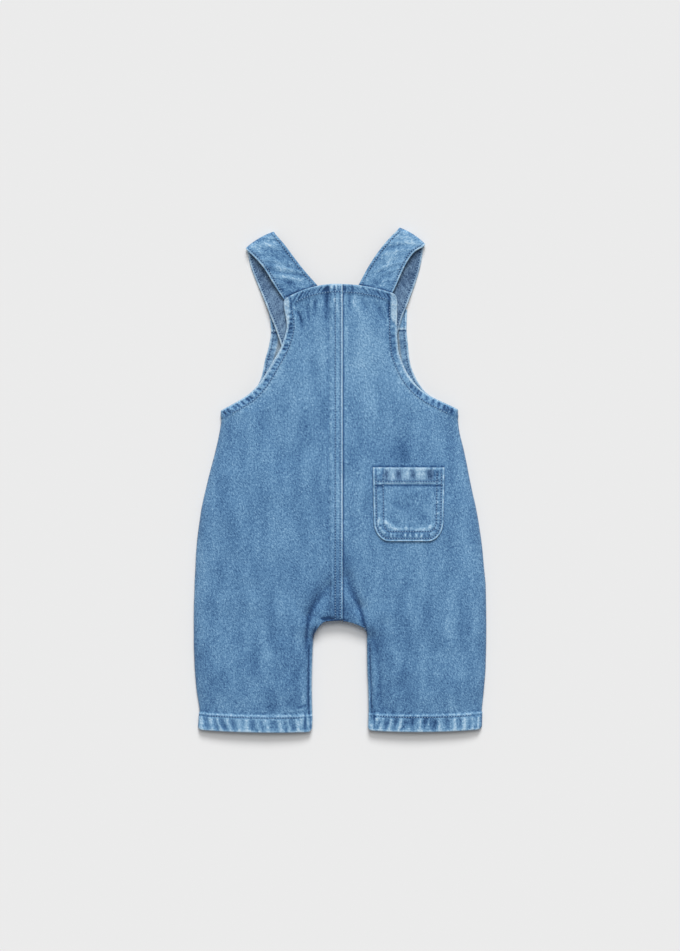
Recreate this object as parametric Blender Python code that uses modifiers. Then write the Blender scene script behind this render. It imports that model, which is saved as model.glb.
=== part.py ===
"""Denim dungarees for a baby, laid flat on their front with the back uppermost.

Metres, +Z up, lying on Z = 0. +Y runs from the leg hems to the shoulder folds, and +X to the
wearer's right. The origin is under the middle of the garment. Sizes and tables are in
millimetres, and MM turns them into metres where a mesh is made. A distance called out runs
outwards from the middle line, on either side, so the left panels are mirrored by SIDE_SIGN.
"""

from collections import namedtuple

import bmesh
import bpy
import numpy as np

MM = 0.001

# Cloth
WALL = 1.2
STRAP_THICKNESS = 2 * WALL
GAP = 0.3

# Turned edges and seams, and how far each stands above the cloth round it
HEM_DEPTH = 15.0
ARMHOLE_BAND = 7.4
TOP_BAND = 7.8
FACING_DEPTH = 19.0
HEM_RAISE = 0.9
BAND_RAISE = 0.8
FACING_RAISE = 0.9
BAND_STEP = 0.8

# The felled seam down the middle of the back: the left back laps over the right
SEAM_LAP = 2.4
SEAM_WIDTH = 11.0
SEAM_RAISE = 1.0

# How far in from a seam the upper and the lower cloth take to level out, and how high their
# seams along the inside of the legs lie
INSEAM_HEIGHT = 5.6
BACK_ROLL_OUT = 35.0
BACK_ROLL_IN = 25.0
FRONT_ROLL_OUT = 4.0
FRONT_ROLL_IN = 6.0

# Straps, from the bib over the shoulder fold to the inside of the front bib
FOLD_RADIUS = 2.6
FOLD_STEPS = 6
STRAP_STATION = 9.0

# Patch pocket on the wearer's right seat
POCKET_MIDDLE = 64.2
POCKET_TOP = 10.4
POCKET_HEIGHT = 68.6
POCKET_HALF_WIDTH = 33.1
POCKET_TAPER = 1.1
POCKET_CORNER_ACROSS = 14.0
POCKET_CORNER_UP = 18.0
POCKET_HEM = 14.0
POCKET_TURNING = 9.0
POCKET_HEM_RAISE = 0.8
POCKET_TURNING_RAISE = 0.4

# Buttons under the front bib, each in a buttonhole
BUTTON_RADIUS = 7.0
BUTTON_CAP = 2.0
BUTTON_SHANK_RADIUS = 1.8
BUTTONHOLE_LENGTH = 16.0
BUTTONHOLE_WIDTH = 4.6
BUTTON_LIFT = 2.3
BUTTON_LIFT_FLAT = 8.5
BUTTON_LIFT_FALL = 16.0

# How finely the cloth is cut into faces
BODY_STATION = 17.0
BIB_STATION = 9.0

SIDE_SIGN = {"left": -1.0, "right": 1.0}

# One section of a panel runs from the middle seam or inseam (in) to the side or armhole (out).
# dip lowers its middle towards the hem. crown and edge_out are the heights of the cloth's upper
# face at its middle and at its outer end.
Section = namedtuple("Section", "name in_x in_y out_x out_y dip crown edge_out")

BACK_BODY = {
    "left": (
        Section("hem", 26.7, -237.4, 133.1, -235.4, 1.4, 9.0, 4.2),
        Section("hem_fold", 26.0, -222.2, 132.2, -220.4, 0.8, 10.2, 3.8),
        Section("shin", 26.5, -198.0, 135.4, -196.0, 0.0, 12.0, 3.2),
        Section("knee", 26.0, -172.0, 137.2, -161.0, 0.0, 13.0, 3.0),
        Section("thigh", 24.8, -150.0, 137.4, -134.0, 0.0, 13.5, 3.0),
        Section("crotch_side", 20.9, -140.5, 137.4, -119.0, 0.0, 13.8, 3.0),
        Section("crotch_foot", 14.0, -134.2, 137.2, -106.0, 0.0, 14.0, 3.0),
        Section("crotch_arch", 5.0, -133.3, 137.0, -98.0, 0.0, 14.0, 3.0),
        Section("crotch_seam", -SEAM_LAP, -133.0, 136.6, -92.0, 0.0, 14.0, 3.0),
        Section("crotch_1", -SEAM_LAP, -131.4, 136.4, -89.0, 0.0, 14.0, 3.0),
        Section("crotch_4", -SEAM_LAP, -127.5, 136.0, -84.0, 0.0, 14.0, 3.0),
        Section("crotch_12", -SEAM_LAP, -120.0, 135.6, -77.0, 0.0, 14.1, 3.0),
        Section("seat_low", -SEAM_LAP, -108.0, 134.8, -65.0, 0.0, 14.2, 3.0),
        Section("seat", -SEAM_LAP, -76.0, 131.0, -34.0, 0.0, 14.6, 3.0),
        Section("waist_low", -SEAM_LAP, -34.0, 124.6, -2.0, 0.0, 14.8, 3.0),
        Section("waist", -SEAM_LAP, 10.0, 117.4, 26.0, 0.0, 14.2, 3.0),
        Section("ribs", -SEAM_LAP, 42.0, 112.8, 48.0, 0.0, 13.4, 3.4),
        Section("band_foot", -SEAM_LAP, 54.0, 111.7, 55.6, 0.0, 13.0, 3.8),
        Section("underarm", -SEAM_LAP, 62.0, 111.4, 63.8, 0.0, 12.7, 4.4),
    ),
    "right": (
        Section("hem", 26.4, -236.0, 133.1, -235.0, 1.8, 9.0, 4.2),
        Section("hem_fold", 26.8, -221.2, 133.4, -220.4, 1.2, 10.2, 3.8),
        Section("shin", 26.4, -198.0, 135.4, -200.0, 0.0, 12.0, 3.2),
        Section("knee", 25.5, -170.0, 137.3, -164.5, 0.0, 13.0, 3.0),
        Section("thigh", 25.3, -150.0, 137.5, -138.0, 0.0, 13.5, 3.0),
        Section("crotch_side", 23.6, -141.6, 137.3, -122.0, 0.0, 13.8, 3.0),
        Section("crotch_foot", 14.6, -136.2, 137.0, -108.0, 0.0, 14.0, 3.0),
        Section("crotch_arch", 8.0, -134.2, 136.8, -100.0, 0.0, 14.0, 3.0),
        Section("crotch_seam", SEAM_LAP + GAP, -133.4, 136.4, -95.0, 0.0, 14.0, 3.0),
        Section("crotch_1", SEAM_LAP + GAP, -131.8, 136.0, -91.0, 0.0, 14.0, 3.0),
        Section("crotch_4", SEAM_LAP + GAP, -127.8, 135.5, -85.0, 0.0, 14.0, 3.0),
        Section("crotch_12", SEAM_LAP + GAP, -120.0, 134.9, -77.0, 0.0, 14.1, 3.0),
        Section("seat_low", SEAM_LAP + GAP, -108.0, 134.0, -66.0, 0.0, 14.2, 3.0),
        Section("seat", SEAM_LAP + GAP, -76.0, 129.6, -36.0, 0.0, 14.6, 3.0),
        Section("waist_low", SEAM_LAP + GAP, -34.0, 122.6, -2.0, 0.0, 14.8, 3.0),
        Section("waist", SEAM_LAP + GAP, 10.0, 117.0, 26.0, 0.0, 14.2, 3.0),
        Section("ribs", SEAM_LAP + GAP, 42.0, 111.8, 48.0, 0.0, 13.4, 3.4),
        Section("band_foot", SEAM_LAP + GAP, 54.0, 110.8, 56.0, 0.0, 13.0, 3.8),
        Section("underarm", SEAM_LAP + GAP, 62.0, 110.2, 64.8, 0.0, 12.7, 4.4),
    ),
}

BACK_BIB = {
    "left": (
        BACK_BODY["left"][-1],
        Section("arm_1", -SEAM_LAP, 72.0, 94.7, 72.9, 0.0, 12.4, 7.4),
        Section("arm_2", -SEAM_LAP, 80.0, 84.6, 79.6, 0.0, 12.2, 8.4),
        Section("arm_3", -SEAM_LAP, 92.0, 74.3, 90.8, 0.0, 12.0, 9.4),
        Section("arm_4", -SEAM_LAP, 108.0, 64.4, 107.0, 0.0, 11.8, 10.0),
        Section("arm_5", -SEAM_LAP, 128.0, 53.8, 127.0, 0.0, 11.8, 10.3),
        Section("arm_6", -SEAM_LAP, 146.0, 49.8, 143.4, -0.6, 11.8, 10.6),
        Section("band_top", -SEAM_LAP, 174.6, 52.2, 160.2, -4.0, 11.8, 11.0),
        Section("top", -SEAM_LAP, 182.4, 53.1, 167.9, -4.6, 11.8, 11.2),
    ),
    "right": (
        BACK_BODY["right"][-1],
        Section("arm_1", SEAM_LAP + GAP, 72.0, 95.0, 72.0, 0.0, 12.4, 7.4),
        Section("arm_2", SEAM_LAP + GAP, 80.0, 82.0, 78.8, 0.0, 12.2, 8.4),
        Section("arm_3", SEAM_LAP + GAP, 90.0, 70.8, 88.0, 0.0, 12.0, 9.4),
        Section("arm_4", SEAM_LAP + GAP, 104.0, 60.3, 104.0, 0.0, 11.8, 10.0),
        Section("arm_5", SEAM_LAP + GAP, 124.0, 54.2, 123.4, 0.0, 11.8, 10.3),
        Section("arm_6", SEAM_LAP + GAP, 146.0, 53.2, 143.4, -0.4, 11.8, 10.6),
        Section("band_top", SEAM_LAP + GAP, 174.6, 53.5, 164.6, -1.8, 11.8, 11.0),
        Section("top", SEAM_LAP + GAP, 182.4, 53.0, 172.6, -2.2, 11.8, 11.2),
    ),
}

# The front bib is lower and wider than the back one.
Edge = namedtuple("Edge", "name in_y out_x out_y")

FRONT_BIB = {
    "left": (
        Edge("arm_1", 72.0, 94.7, 72.9),
        Edge("arm_2", 82.0, 81.0, 82.8),
        Edge("arm_3", 95.0, 74.0, 95.0),
        Edge("arm_4", 112.0, 70.2, 112.0),
        Edge("arm_5", 128.0, 66.2, 127.0),
        Edge("facing_foot", 141.0, 64.6, 138.8),
        Edge("top", 160.0, 66.7, 157.8),
    ),
    "right": (
        Edge("arm_1", 72.0, 95.0, 72.0),
        Edge("arm_2", 80.0, 80.0, 82.0),
        Edge("arm_3", 92.0, 71.0, 95.0),
        Edge("arm_4", 110.0, 65.6, 109.6),
        Edge("arm_5", 128.0, 63.5, 128.0),
        Edge("facing_foot", 141.0, 62.4, 140.8),
        Edge("top", 160.0, 62.9, 159.8),
    ),
}

# Strap stations, each a line across the strap and the height of its middle. The upper run goes
# from its sewn end under the back bib to the shoulder fold, and the lower run from there to its
# buttoned end inside the front bib.
Station = namedtuple("Station", "name outer_x outer_y inner_x inner_y height")

STRAP_UPPER = {
    "left": (
        Station("sewn_end", 49.4, 164.5, 18.2, 177.9, 8.3),
        Station("bib_edge", 52.7, 168.9, 21.6, 181.7, 8.3),
        Station("low", 63.2, 184.8, 34.8, 196.8, 8.2),
        Station("middle", 71.1, 197.7, 43.7, 208.3, 8.0),
        Station("high", 79.4, 207.4, 52.4, 220.0, 7.4),
        Station("fold", 86.9, 214.7, 61.0, 230.0, WALL + 2 * FOLD_RADIUS),
    ),
    "right": (
        Station("sewn_end", 46.8, 171.4, 15.4, 178.1, 8.3),
        Station("bib_edge", 49.6, 175.8, 18.0, 182.6, 8.3),
        Station("low", 57.3, 192.7, 26.6, 198.6, 8.2),
        Station("middle", 63.0, 204.2, 35.6, 212.4, 8.0),
        Station("high", 69.8, 213.2, 45.4, 224.6, 7.4),
        Station("fold", 78.4, 218.5, 54.5, 233.9, WALL + 2 * FOLD_RADIUS),
    ),
}

STRAP_LOWER = {
    "left": (
        Station("fold", 86.9, 214.7, 61.0, 230.0, WALL),
        Station("low_1", 84.2, 201.5, 56.6, 213.2, WALL),
        Station("low_2", 78.2, 185.5, 50.1, 195.9, 1.8),
        Station("low_3", 71.4, 169.2, 43.3, 179.6, 3.6),
        Station("bib_edge", 68.2, 161.2, 40.1, 171.6, 5.0),
        Station("low_4", 65.3, 153.6, 37.2, 164.0, 6.1),
        Station("button", 60.6, 141.8, 32.5, 152.2, 6.4),
        Station("end", 53.8, 121.4, 25.7, 131.8, 6.2),
    ),
    "right": (
        Station("fold", 78.4, 218.5, 54.5, 233.9, WALL),
        Station("low_1", 76.0, 203.5, 47.5, 212.9, WALL),
        Station("low_2", 71.0, 185.5, 42.4, 194.5, 1.8),
        Station("low_3", 65.8, 171.4, 37.2, 180.4, 3.6),
        Station("bib_edge", 62.6, 162.8, 34.0, 171.8, 5.0),
        Station("low_4", 58.6, 153.4, 30.0, 162.4, 6.1),
        Station("button", 55.4, 142.4, 26.8, 151.4, 6.4),
        Station("end", 50.0, 124.5, 21.4, 133.5, 6.2),
    ),
}

# Places of the buttons, out from the middle line and up the bib
BUTTON_PLACE = {"left": (46.5, 147.0), "right": (41.1, 147.0)}

# The largest folds of the back: troughs have a height below nothing. x runs to the right.
Fold = namedtuple("Fold", "name x1 y1 x2 y2 width height")

FOLDS = (
    Fold("left_crotch_low", -30.4, -156.0, -28.4, -129.0, 6.0, -2.0),
    Fold("left_crotch_high", -28.4, -129.0, -11.0, -102.0, 7.0, -1.8),
    Fold("right_crotch_low", 24.5, -150.0, 18.0, -122.0, 6.0, -2.0),
    Fold("right_crotch_high", 18.0, -122.0, 6.0, -93.0, 7.0, -1.8),
    Fold("right_thigh", 40.4, -138.0, 39.4, -214.0, 8.0, -1.0),
    Fold("left_shin", -55.0, -160.0, -48.0, -214.0, 10.0, 0.7),
    Fold("left_hip", -100.0, -30.0, -84.0, -110.0, 14.0, 0.6),
    Fold("left_armhole", -76.0, 76.0, -56.0, 20.0, 11.0, -0.8),
    Fold("right_armhole", 78.0, 66.0, 60.0, 34.0, 10.0, -0.6),
    Fold("left_bib", -30.0, 160.0, -34.0, 110.0, 7.0, -0.7),
    Fold("right_bib", 38.0, 158.0, 34.0, 118.0, 8.0, 0.5),
)
FOLD_FADE = 22.0

# Name, colour, roughness and metal of each material
DENIM_OUTSIDE = ("denim", (0.115, 0.250, 0.430, 1.0), 0.92, 0.0)
DENIM_STRAP = ("denim_strap", (0.160, 0.300, 0.480, 1.0), 0.92, 0.0)
BUTTON_METAL = ("button_metal", (0.420, 0.400, 0.360, 1.0), 0.38, 1.0)


# Curves through table rows


def slopes(knots, values):
    """Slopes that keep a curve through the rows from swinging past them."""
    step = np.diff(knots)[:, None]
    rise = np.diff(values, axis=0) / step
    before, after = rise[:-1], rise[1:]
    turning = before * after <= 0
    safe_before = np.where(turning, 1.0, before)
    safe_after = np.where(turning, 1.0, after)
    weight_before = 2 * step[1:] + step[:-1]
    weight_after = step[1:] + 2 * step[:-1]
    mean = (weight_before + weight_after) / (
        weight_before / safe_before + weight_after / safe_after
    )
    inside = np.where(turning, 0.0, mean)
    return np.vstack([rise[:1], inside, rise[-1:]])


def curve_at(knots, values, at):
    """The smooth curve through the rows, read at these distances along it."""
    slope = slopes(knots, values)
    i = np.clip(np.searchsorted(knots, at, side="right") - 1, 0, len(knots) - 2)
    step = (knots[i + 1] - knots[i])[:, None]
    t = (at - knots[i])[:, None] / step
    start = (2 * t**3 - 3 * t**2 + 1) * values[i] + (t**3 - 2 * t**2 + t) * step * slope[i]
    end = (3 * t**2 - 2 * t**3) * values[i + 1] + (t**3 - t**2) * step * slope[i + 1]
    return start + end


def rows_between(table, spacing, near=()):
    """Rows of the table with smooth ones between them, and one just past each row named in near."""
    values = np.array([row[1:] for row in table], float)
    inner = np.linalg.norm(np.diff(values[:, 0:2], axis=0), axis=1)
    outer = np.linalg.norm(np.diff(values[:, 2:4], axis=0), axis=1)
    knots = np.concatenate([[0.0], np.cumsum((inner + outer) / 2)])
    at = set(knots)
    for low, high in zip(knots[:-1], knots[1:]):
        count = max(1, round((high - low) / spacing))
        at.update(np.linspace(low, high, count + 1))
    for row, knot in zip(table, knots):
        if row.name in near:
            at.add(knot + BAND_STEP)
    return curve_at(knots, values, np.array(sorted(at)))


def smooth_step(x):
    x = np.clip(x, 0.0, 1.0)
    return x * x * (3 - 2 * x)


def away_from_line(x, y, line):
    """How far points in plan are from a line through the given points, and which way."""
    distance = np.full(np.shape(x), np.inf)
    direction = np.zeros(np.shape(x) + (2,))
    for (ax, ay), (bx, by) in zip(line[:-1], line[1:]):
        dx, dy = bx - ax, by - ay
        along = ((x - ax) * dx + (y - ay) * dy) / max(dx * dx + dy * dy, 1e-9)
        along = np.clip(along, 0.0, 1.0)
        offset = np.stack([x - ax - along * dx, y - ay - along * dy], axis=-1)
        away = np.linalg.norm(offset, axis=-1)
        nearer = away < distance
        distance = np.where(nearer, away, distance)
        direction = np.where(nearer[..., None], offset, direction)
    return distance, unit(direction)


def distance_to_line(x, y, line):
    return away_from_line(x, y, line)[0]


def band(distance, depth, height):
    """A turned edge: raised by height as far in as depth, with a short step down."""
    return height * np.clip((depth + BAND_STEP - distance) / BAND_STEP, 0.0, 1.0)


# Panels


def edge_slant(rows):
    """For each row, how much longer a distance is along it than square to the outer edge."""
    tangent = np.gradient(rows[:, 2:4], axis=0)
    tangent /= np.linalg.norm(tangent, axis=1)[:, None]
    across = rows[:, 2:4] - rows[:, 0:2]
    across /= np.linalg.norm(across, axis=1)[:, None]
    sine = np.abs(tangent[:, 0] * across[:, 1] - tangent[:, 1] * across[:, 0])
    return 1 / np.clip(sine, 0.45, 1.0)


def distances_in(rows, from_inner, middle, from_outer, bib_start):
    """How far each row's points are from its inner edge: fixed distances at both edges, and
    shares of what is left between them."""
    width = np.linalg.norm(rows[:, 2:4] - rows[:, 0:2], axis=1)[:, None]
    slant = np.where(np.arange(len(rows)) >= bib_start, edge_slant(rows), 1.0)[:, None]
    inner = np.broadcast_to(np.array(from_inner), (len(rows), len(from_inner)))
    outer = width - np.array(from_outer) * slant
    low, high = inner[:, -1:], outer[:, :1]
    between = low + (high - low) * np.array(middle)
    return np.hstack([inner, between, outer]), width


def plan_of(rows, distance, width, sign):
    """X and Y of each point."""
    share = distance / width
    out = rows[:, 0:1] + (rows[:, 2:3] - rows[:, 0:1]) * share
    y = rows[:, 1:2] + (rows[:, 3:4] - rows[:, 1:2]) * share
    y = y - rows[:, 4:5] * 4 * share * (1 - share)
    return sign * out, y


def edge_directions(x, y, column, neighbour):
    """Level unit vectors square to a panel's edge and pointing into it, one for each row."""
    along = np.gradient(np.stack([x[:, column], y[:, column]], axis=1), axis=0)
    square = np.stack([-along[:, 1], along[:, 0]], axis=1)
    inwards = np.stack([x[:, neighbour] - x[:, column], y[:, neighbour] - y[:, column]], axis=1)
    return unit(square) * np.sign((square * inwards).sum(1))[:, None]


def rolled_surface(rows, distance, width, x, y, inseam_height, reach_out, reach_in):
    """Heights of the outer face, level at the crown and rolling like a quarter of an ellipse to
    the side seam and the inseam, and unit vectors up out of it."""
    crown, side_height = rows[:, 5:6], rows[:, 6:7]
    from_inseam, into_inner = away_from_line(x, y, inseam_line())
    on_inseam = from_inseam[:, 0] < 0.1
    from_inseam[:, 0] = np.where(on_inseam, 0.0, from_inseam[:, 0])
    left_out = 1 - np.clip((width - distance) / reach_out, 0.0, 1.0)
    left_in = 1 - np.clip(from_inseam / reach_in, 0.0, 1.0)
    rise_out, rise_in = np.sqrt(1 - left_out**2), np.sqrt(1 - left_in**2)
    drop_out, drop_in = crown - side_height, crown - inseam_height
    z = crown - drop_out * (1 - rise_out) - drop_in * (1 - rise_in)
    square = edge_directions(x, y, 0, 1)
    into_inner[:, 0] = np.where(on_inseam[:, None], square, into_inner[:, 0])
    into_outer = edge_directions(x, y, -1, -2)[:, None, :]
    lean_out = (drop_out / reach_out * left_out * rise_in)[..., None] * into_outer
    lean_in = (drop_in / reach_in * left_in * rise_out)[..., None] * into_inner
    up = np.concatenate([-lean_out - lean_in, (rise_out * rise_in)[..., None]], axis=2)
    steep_out = np.clip((np.abs(drop_out) - 1.0) / 2.0, 0.0, 1.0) * (left_out > 0)
    flat_edge = ((1 - steep_out) * (left_out > 0) * (left_in <= 0))[..., None]
    return z, unit(unit(up) * (1 - flat_edge) + np.array([0.0, 0.0, 1.0]) * flat_edge)


def inseam_line():
    """Up the inside of the left leg, through the crotch and down the inside of the right leg."""
    line = []
    for side, step in (("left", 1), ("right", -1)):
        rows = rows_between(BACK_BODY[side], 3.0)
        rows = rows[rows[:, 1] < crotch_height(side) + 0.01]
        line += [(SIDE_SIGN[side] * row[0], row[1]) for row in rows[::step]]
    return line


def fold_height(x, y):
    """Height that the folds add or take away."""
    height = np.zeros(np.shape(x))
    for fold in FOLDS:
        away = distance_to_line(x, y, ((fold.x1, fold.y1), (fold.x2, fold.y2)))
        height += fold.height * np.exp(-((away / fold.width) ** 2))
    return height


def unit(vectors):
    return vectors / np.maximum(np.linalg.norm(vectors, axis=-1, keepdims=True), 1e-12)


def outward(points):
    """Unit vectors up out of a patch that is nearly level."""
    normal = unit(np.cross(np.gradient(points, axis=0), np.gradient(points, axis=1)))
    return normal * np.sign(normal[..., 2:3])


def wall_object(name, outer, inner, finish, collection):
    """A closed wall between two grids of points."""
    across = outer.shape[1]
    size = outer.shape[0] * across
    points = np.concatenate([outer.reshape(-1, 3), inner.reshape(-1, 3)]) * MM
    faces = []
    for i in range(outer.shape[0] - 1):
        for j in range(across - 1):
            corner = i * across + j
            quad = [corner, corner + 1, corner + 1 + across, corner + across]
            faces.append(quad)
            faces.append([size + k for k in reversed(quad)])
    bottom = [j for j in range(across)]
    right = [i * across + across - 1 for i in range(1, outer.shape[0])]
    top = [size - 1 - j for j in range(1, across)]
    left = [i * across for i in range(outer.shape[0] - 2, 0, -1)]
    rim = bottom + right + top + left
    for a, b in zip(rim, rim[1:] + rim[:1]):
        faces.append([b, a, size + a, size + b])
    mesh = bpy.data.meshes.new(name)
    mesh.from_pydata([tuple(p) for p in points], [], faces)
    return placed(name, mesh, finish, collection)


def placed(name, mesh, finish, collection):
    """An object for a mesh whose faces are made to point out."""
    shape = bmesh.new()
    shape.from_mesh(mesh)
    bmesh.ops.recalc_face_normals(shape, faces=shape.faces)
    shape.to_mesh(mesh)
    shape.free()
    mesh.shade_smooth()
    mesh.set_sharp_from_angle(angle=np.radians(40.0))
    mesh.materials.append(finish)
    made = bpy.data.objects.new(name, mesh)
    collection.objects.link(made)
    return made


def material(look):
    name, colour, roughness, metallic = look
    made = bpy.data.materials.new(name)
    made.use_nodes = True
    shader = made.node_tree.nodes["Principled BSDF"]
    shader.inputs["Base Color"].default_value = colour
    shader.inputs["Roughness"].default_value = roughness
    shader.inputs["Metallic"].default_value = metallic
    made.diffuse_color = colour
    return made


# The back, from hem to bib top


def back_rows(side):
    body = rows_between(BACK_BODY[side], BODY_STATION, near=("hem_fold",))
    bib = rows_between(BACK_BIB[side], BIB_STATION)
    return np.vstack([body, bib[1:]]), len(body) - 1


def crotch_height(side):
    """How far up the middle seam starts."""
    return [row.in_y for row in BACK_BODY[side] if row.name == "crotch_seam"][0]


def back_relief(side, x, y):
    """How far seams and turned edges stand above the back's cloth."""
    sign = SIDE_SIGN[side]
    body, bib = BACK_BODY[side], BACK_BIB[side]
    hem = [(sign * body[0].in_x, body[0].in_y), (sign * body[0].out_x, body[0].out_y)]
    armhole = [(sign * row.out_x, row.out_y) for row in bib]
    raised = band(distance_to_line(x, y, hem), HEM_DEPTH, HEM_RAISE)
    raised = np.maximum(raised, band(distance_to_line(x, y, armhole), ARMHOLE_BAND, BAND_RAISE))
    raised = np.maximum(raised, band(distance_to_line(x, y, top_edge(side)), TOP_BAND, BAND_RAISE))
    if side == "left":
        crotch = crotch_height(side)
        seam = [(SEAM_LAP, crotch), (SEAM_LAP, bib[-1].in_y)]
        ridge = band(distance_to_line(x, y, seam), SEAM_WIDTH, SEAM_RAISE)
        raised = np.maximum(raised, ridge * np.clip((y - crotch) / 6.0, 0.0, 1.0))
    return raised


def top_edge(side):
    """Points along the bowed top edge of the back bib."""
    top = BACK_BIB[side][-1]
    share = np.linspace(0.0, 1.0, 7)
    out = top.in_x + (top.out_x - top.in_x) * share
    y = top.in_y + (top.out_y - top.in_y) * share - top.dip * 4 * share * (1 - share)
    return list(zip(SIDE_SIGN[side] * out, y))


def back_surface(side, rows, distance, width):
    """The back's outer face before its seams and turned edges are raised."""
    x, y = plan_of(rows, distance, width, SIDE_SIGN[side])
    z, normal = rolled_surface(
        rows, distance, width, x, y, INSEAM_HEIGHT, BACK_ROLL_OUT, BACK_ROLL_IN
    )
    from_edge = np.minimum(distance_to_line(x, y, inseam_line()), width - distance)
    z = z + fold_height(x, y) * smooth_step(from_edge / FOLD_FADE)
    return np.stack([x, y, z], axis=2), normal


def back_panel(side, finish, collection):
    rows, bib_start = back_rows(side)
    from_inner = (0.0, 0.8, 4.0, SEAM_WIDTH, SEAM_WIDTH + BAND_STEP)
    middle = (0.13, 0.31, 0.50, 0.68, 0.83, 0.94)
    from_outer = (ARMHOLE_BAND + BAND_STEP, ARMHOLE_BAND, 3.4, 1.0, 0.0)
    distance, width = distances_in(rows, from_inner, middle, from_outer, bib_start)
    base, normal = back_surface(side, rows, distance, width)
    raised = back_relief(side, base[..., 0], base[..., 1])[..., None]
    return wall_object(
        f"back_{side}", base + raised * normal, base - WALL * normal, finish, collection
    )


def back_height_at(side, x, y):
    """Height of the back's outer face over points in plan, read off finely spaced sections."""
    rows = np.vstack(
        [rows_between(BACK_BODY[side], 2.0), rows_between(BACK_BIB[side], 2.0)[1:]]
    )
    height = np.zeros(np.shape(x))
    for at in np.ndindex(np.shape(x)):
        share = (SIDE_SIGN[side] * x[at] - rows[:, 0]) / (rows[:, 2] - rows[:, 0])
        row_y = rows[:, 1] + (rows[:, 3] - rows[:, 1]) * share
        k = int(np.clip(np.searchsorted(row_y, y[at]) - 1, 0, len(rows) - 2))
        t = (y[at] - row_y[k]) / (row_y[k + 1] - row_y[k])
        row = (rows[k] * (1 - t) + rows[k + 1] * t)[None, :]
        width = np.linalg.norm(row[:, 2:4] - row[:, 0:2], axis=1)[:, None]
        inside = width * (SIDE_SIGN[side] * x[at] - row[:, 0:1]) / (row[:, 2:3] - row[:, 0:1])
        crown, side_height = row[0, 5], row[0, 6]
        left = 1 - np.clip((width - inside) / BACK_ROLL_OUT, 0.0, 1.0)[0, 0]
        height[at] = crown - (crown - side_height) * (1 - np.sqrt(1 - left**2))
    return height + fold_height(x, y)


# The front, which lies on the floor


def front_table(side):
    """Sections of the front: the back's own outline as far as the underarm, then its own bib."""
    body = [row._replace(crown=0.0, edge_out=row.edge_out - GAP) for row in BACK_BODY[side]]
    bib = [body[-1]]
    for edge in FRONT_BIB[side]:
        bib.append(
            Section(edge.name, bib[0].in_x, edge.in_y, edge.out_x, edge.out_y, 0.0, 0.0, 0.0)
        )
    return body, bib


def front_lift(side, x, y):
    """The front bib stands off the floor over its button."""
    out, up = BUTTON_PLACE[side]
    away = np.hypot(x - SIDE_SIGN[side] * out, y - up)
    return BUTTON_LIFT * (1 - smooth_step((away - BUTTON_LIFT_FLAT) / BUTTON_LIFT_FALL))


def front_relief(side, x, y):
    """How far the facing and the turned armhole edge stand above the inside of the front."""
    sign = SIDE_SIGN[side]
    bib = FRONT_BIB[side]
    top = [(0.0, bib[-1].in_y), (sign * bib[-1].out_x, bib[-1].out_y)]
    armhole = [(sign * edge.out_x, edge.out_y) for edge in bib]
    facing = band(distance_to_line(x, y, top), FACING_DEPTH, FACING_RAISE)
    return np.maximum(facing, band(distance_to_line(x, y, armhole), ARMHOLE_BAND, BAND_RAISE))


def front_panel(side, finish, collection, cutters):
    body, bib = front_table(side)
    body_rows = rows_between(body, BODY_STATION)
    bib_rows = rows_between(bib, BIB_STATION, near=("arm_5",))
    rows = np.vstack([body_rows, bib_rows[1:]])
    from_inner = (0.0, 0.8, 3.0, 8.0)
    middle = (0.17, 0.34, 0.50, 0.66, 0.83)
    from_outer = (ARMHOLE_BAND + BAND_STEP, ARMHOLE_BAND, 3.4, 1.0, 0.0)
    distance, width = distances_in(rows, from_inner, middle, from_outer, len(body_rows) - 1)
    x, y = plan_of(rows, distance, width, SIDE_SIGN[side])
    z, normal = rolled_surface(
        rows, distance, width, x, y, INSEAM_HEIGHT - GAP, FRONT_ROLL_OUT, FRONT_ROLL_IN
    )
    outer = np.stack([x, y, z + front_lift(side, x, y)], axis=2)
    raised = front_relief(side, x, y)[..., None]
    made = wall_object(
        f"front_{side}", outer, outer + (WALL + raised) * normal, finish, collection
    )
    cut_buttonhole(made, side, cutters)
    return made


def cut_buttonhole(panel, side, cutters):
    """A slot through the front bib for the button's shank."""
    out, up = BUTTON_PLACE[side]
    name = f"buttonhole_cutter_{side}"
    mesh = bpy.data.meshes.new(name)
    shape = bmesh.new()
    bmesh.ops.create_cube(shape, size=1.0)
    size = (BUTTONHOLE_LENGTH * MM, BUTTONHOLE_WIDTH * MM, 12 * MM)
    bmesh.ops.scale(shape, vec=size, verts=shape.verts)
    upright = [e for e in shape.edges if abs(e.verts[0].co.z - e.verts[1].co.z) > MM]
    bmesh.ops.bevel(
        shape, geom=upright, offset=0.45 * BUTTONHOLE_WIDTH * MM, segments=3, affect="EDGES",
        profile=0.5,
    )
    shape.to_mesh(mesh)
    shape.free()
    cutter = bpy.data.objects.new(name, mesh)
    cutter.location = (SIDE_SIGN[side] * out * MM, up * MM, BUTTON_LIFT * MM)
    cutter.hide_render = True
    cutter.display_type = "WIRE"
    cutters.objects.link(cutter)
    cut = panel.modifiers.new("buttonhole", "BOOLEAN")
    cut.operation = "DIFFERENCE"
    cut.solver = "EXACT"
    cut.object = cutter


# Straps


def strap_stations(side):
    """Stations down the whole strap: the upper run, round the fold, and the lower run."""
    upper = station_rows(STRAP_UPPER[side])
    lower = station_rows(STRAP_LOWER[side])
    fold = upper[-1]
    across = unit(fold[0:2] - fold[2:4])
    away = np.array([-across[1], across[0]])
    away = away if away[1] > 0 else -away
    bend = []
    for angle in np.linspace(0.0, np.pi, FOLD_STEPS + 2)[1:-1]:
        reach = away * FOLD_RADIUS * np.sin(angle)
        height = WALL + FOLD_RADIUS * (1 + np.cos(angle))
        bend.append(np.concatenate([fold[0:2] + reach, fold[2:4] + reach, [height]]))
    return np.vstack([upper, np.array(bend), lower])


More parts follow.
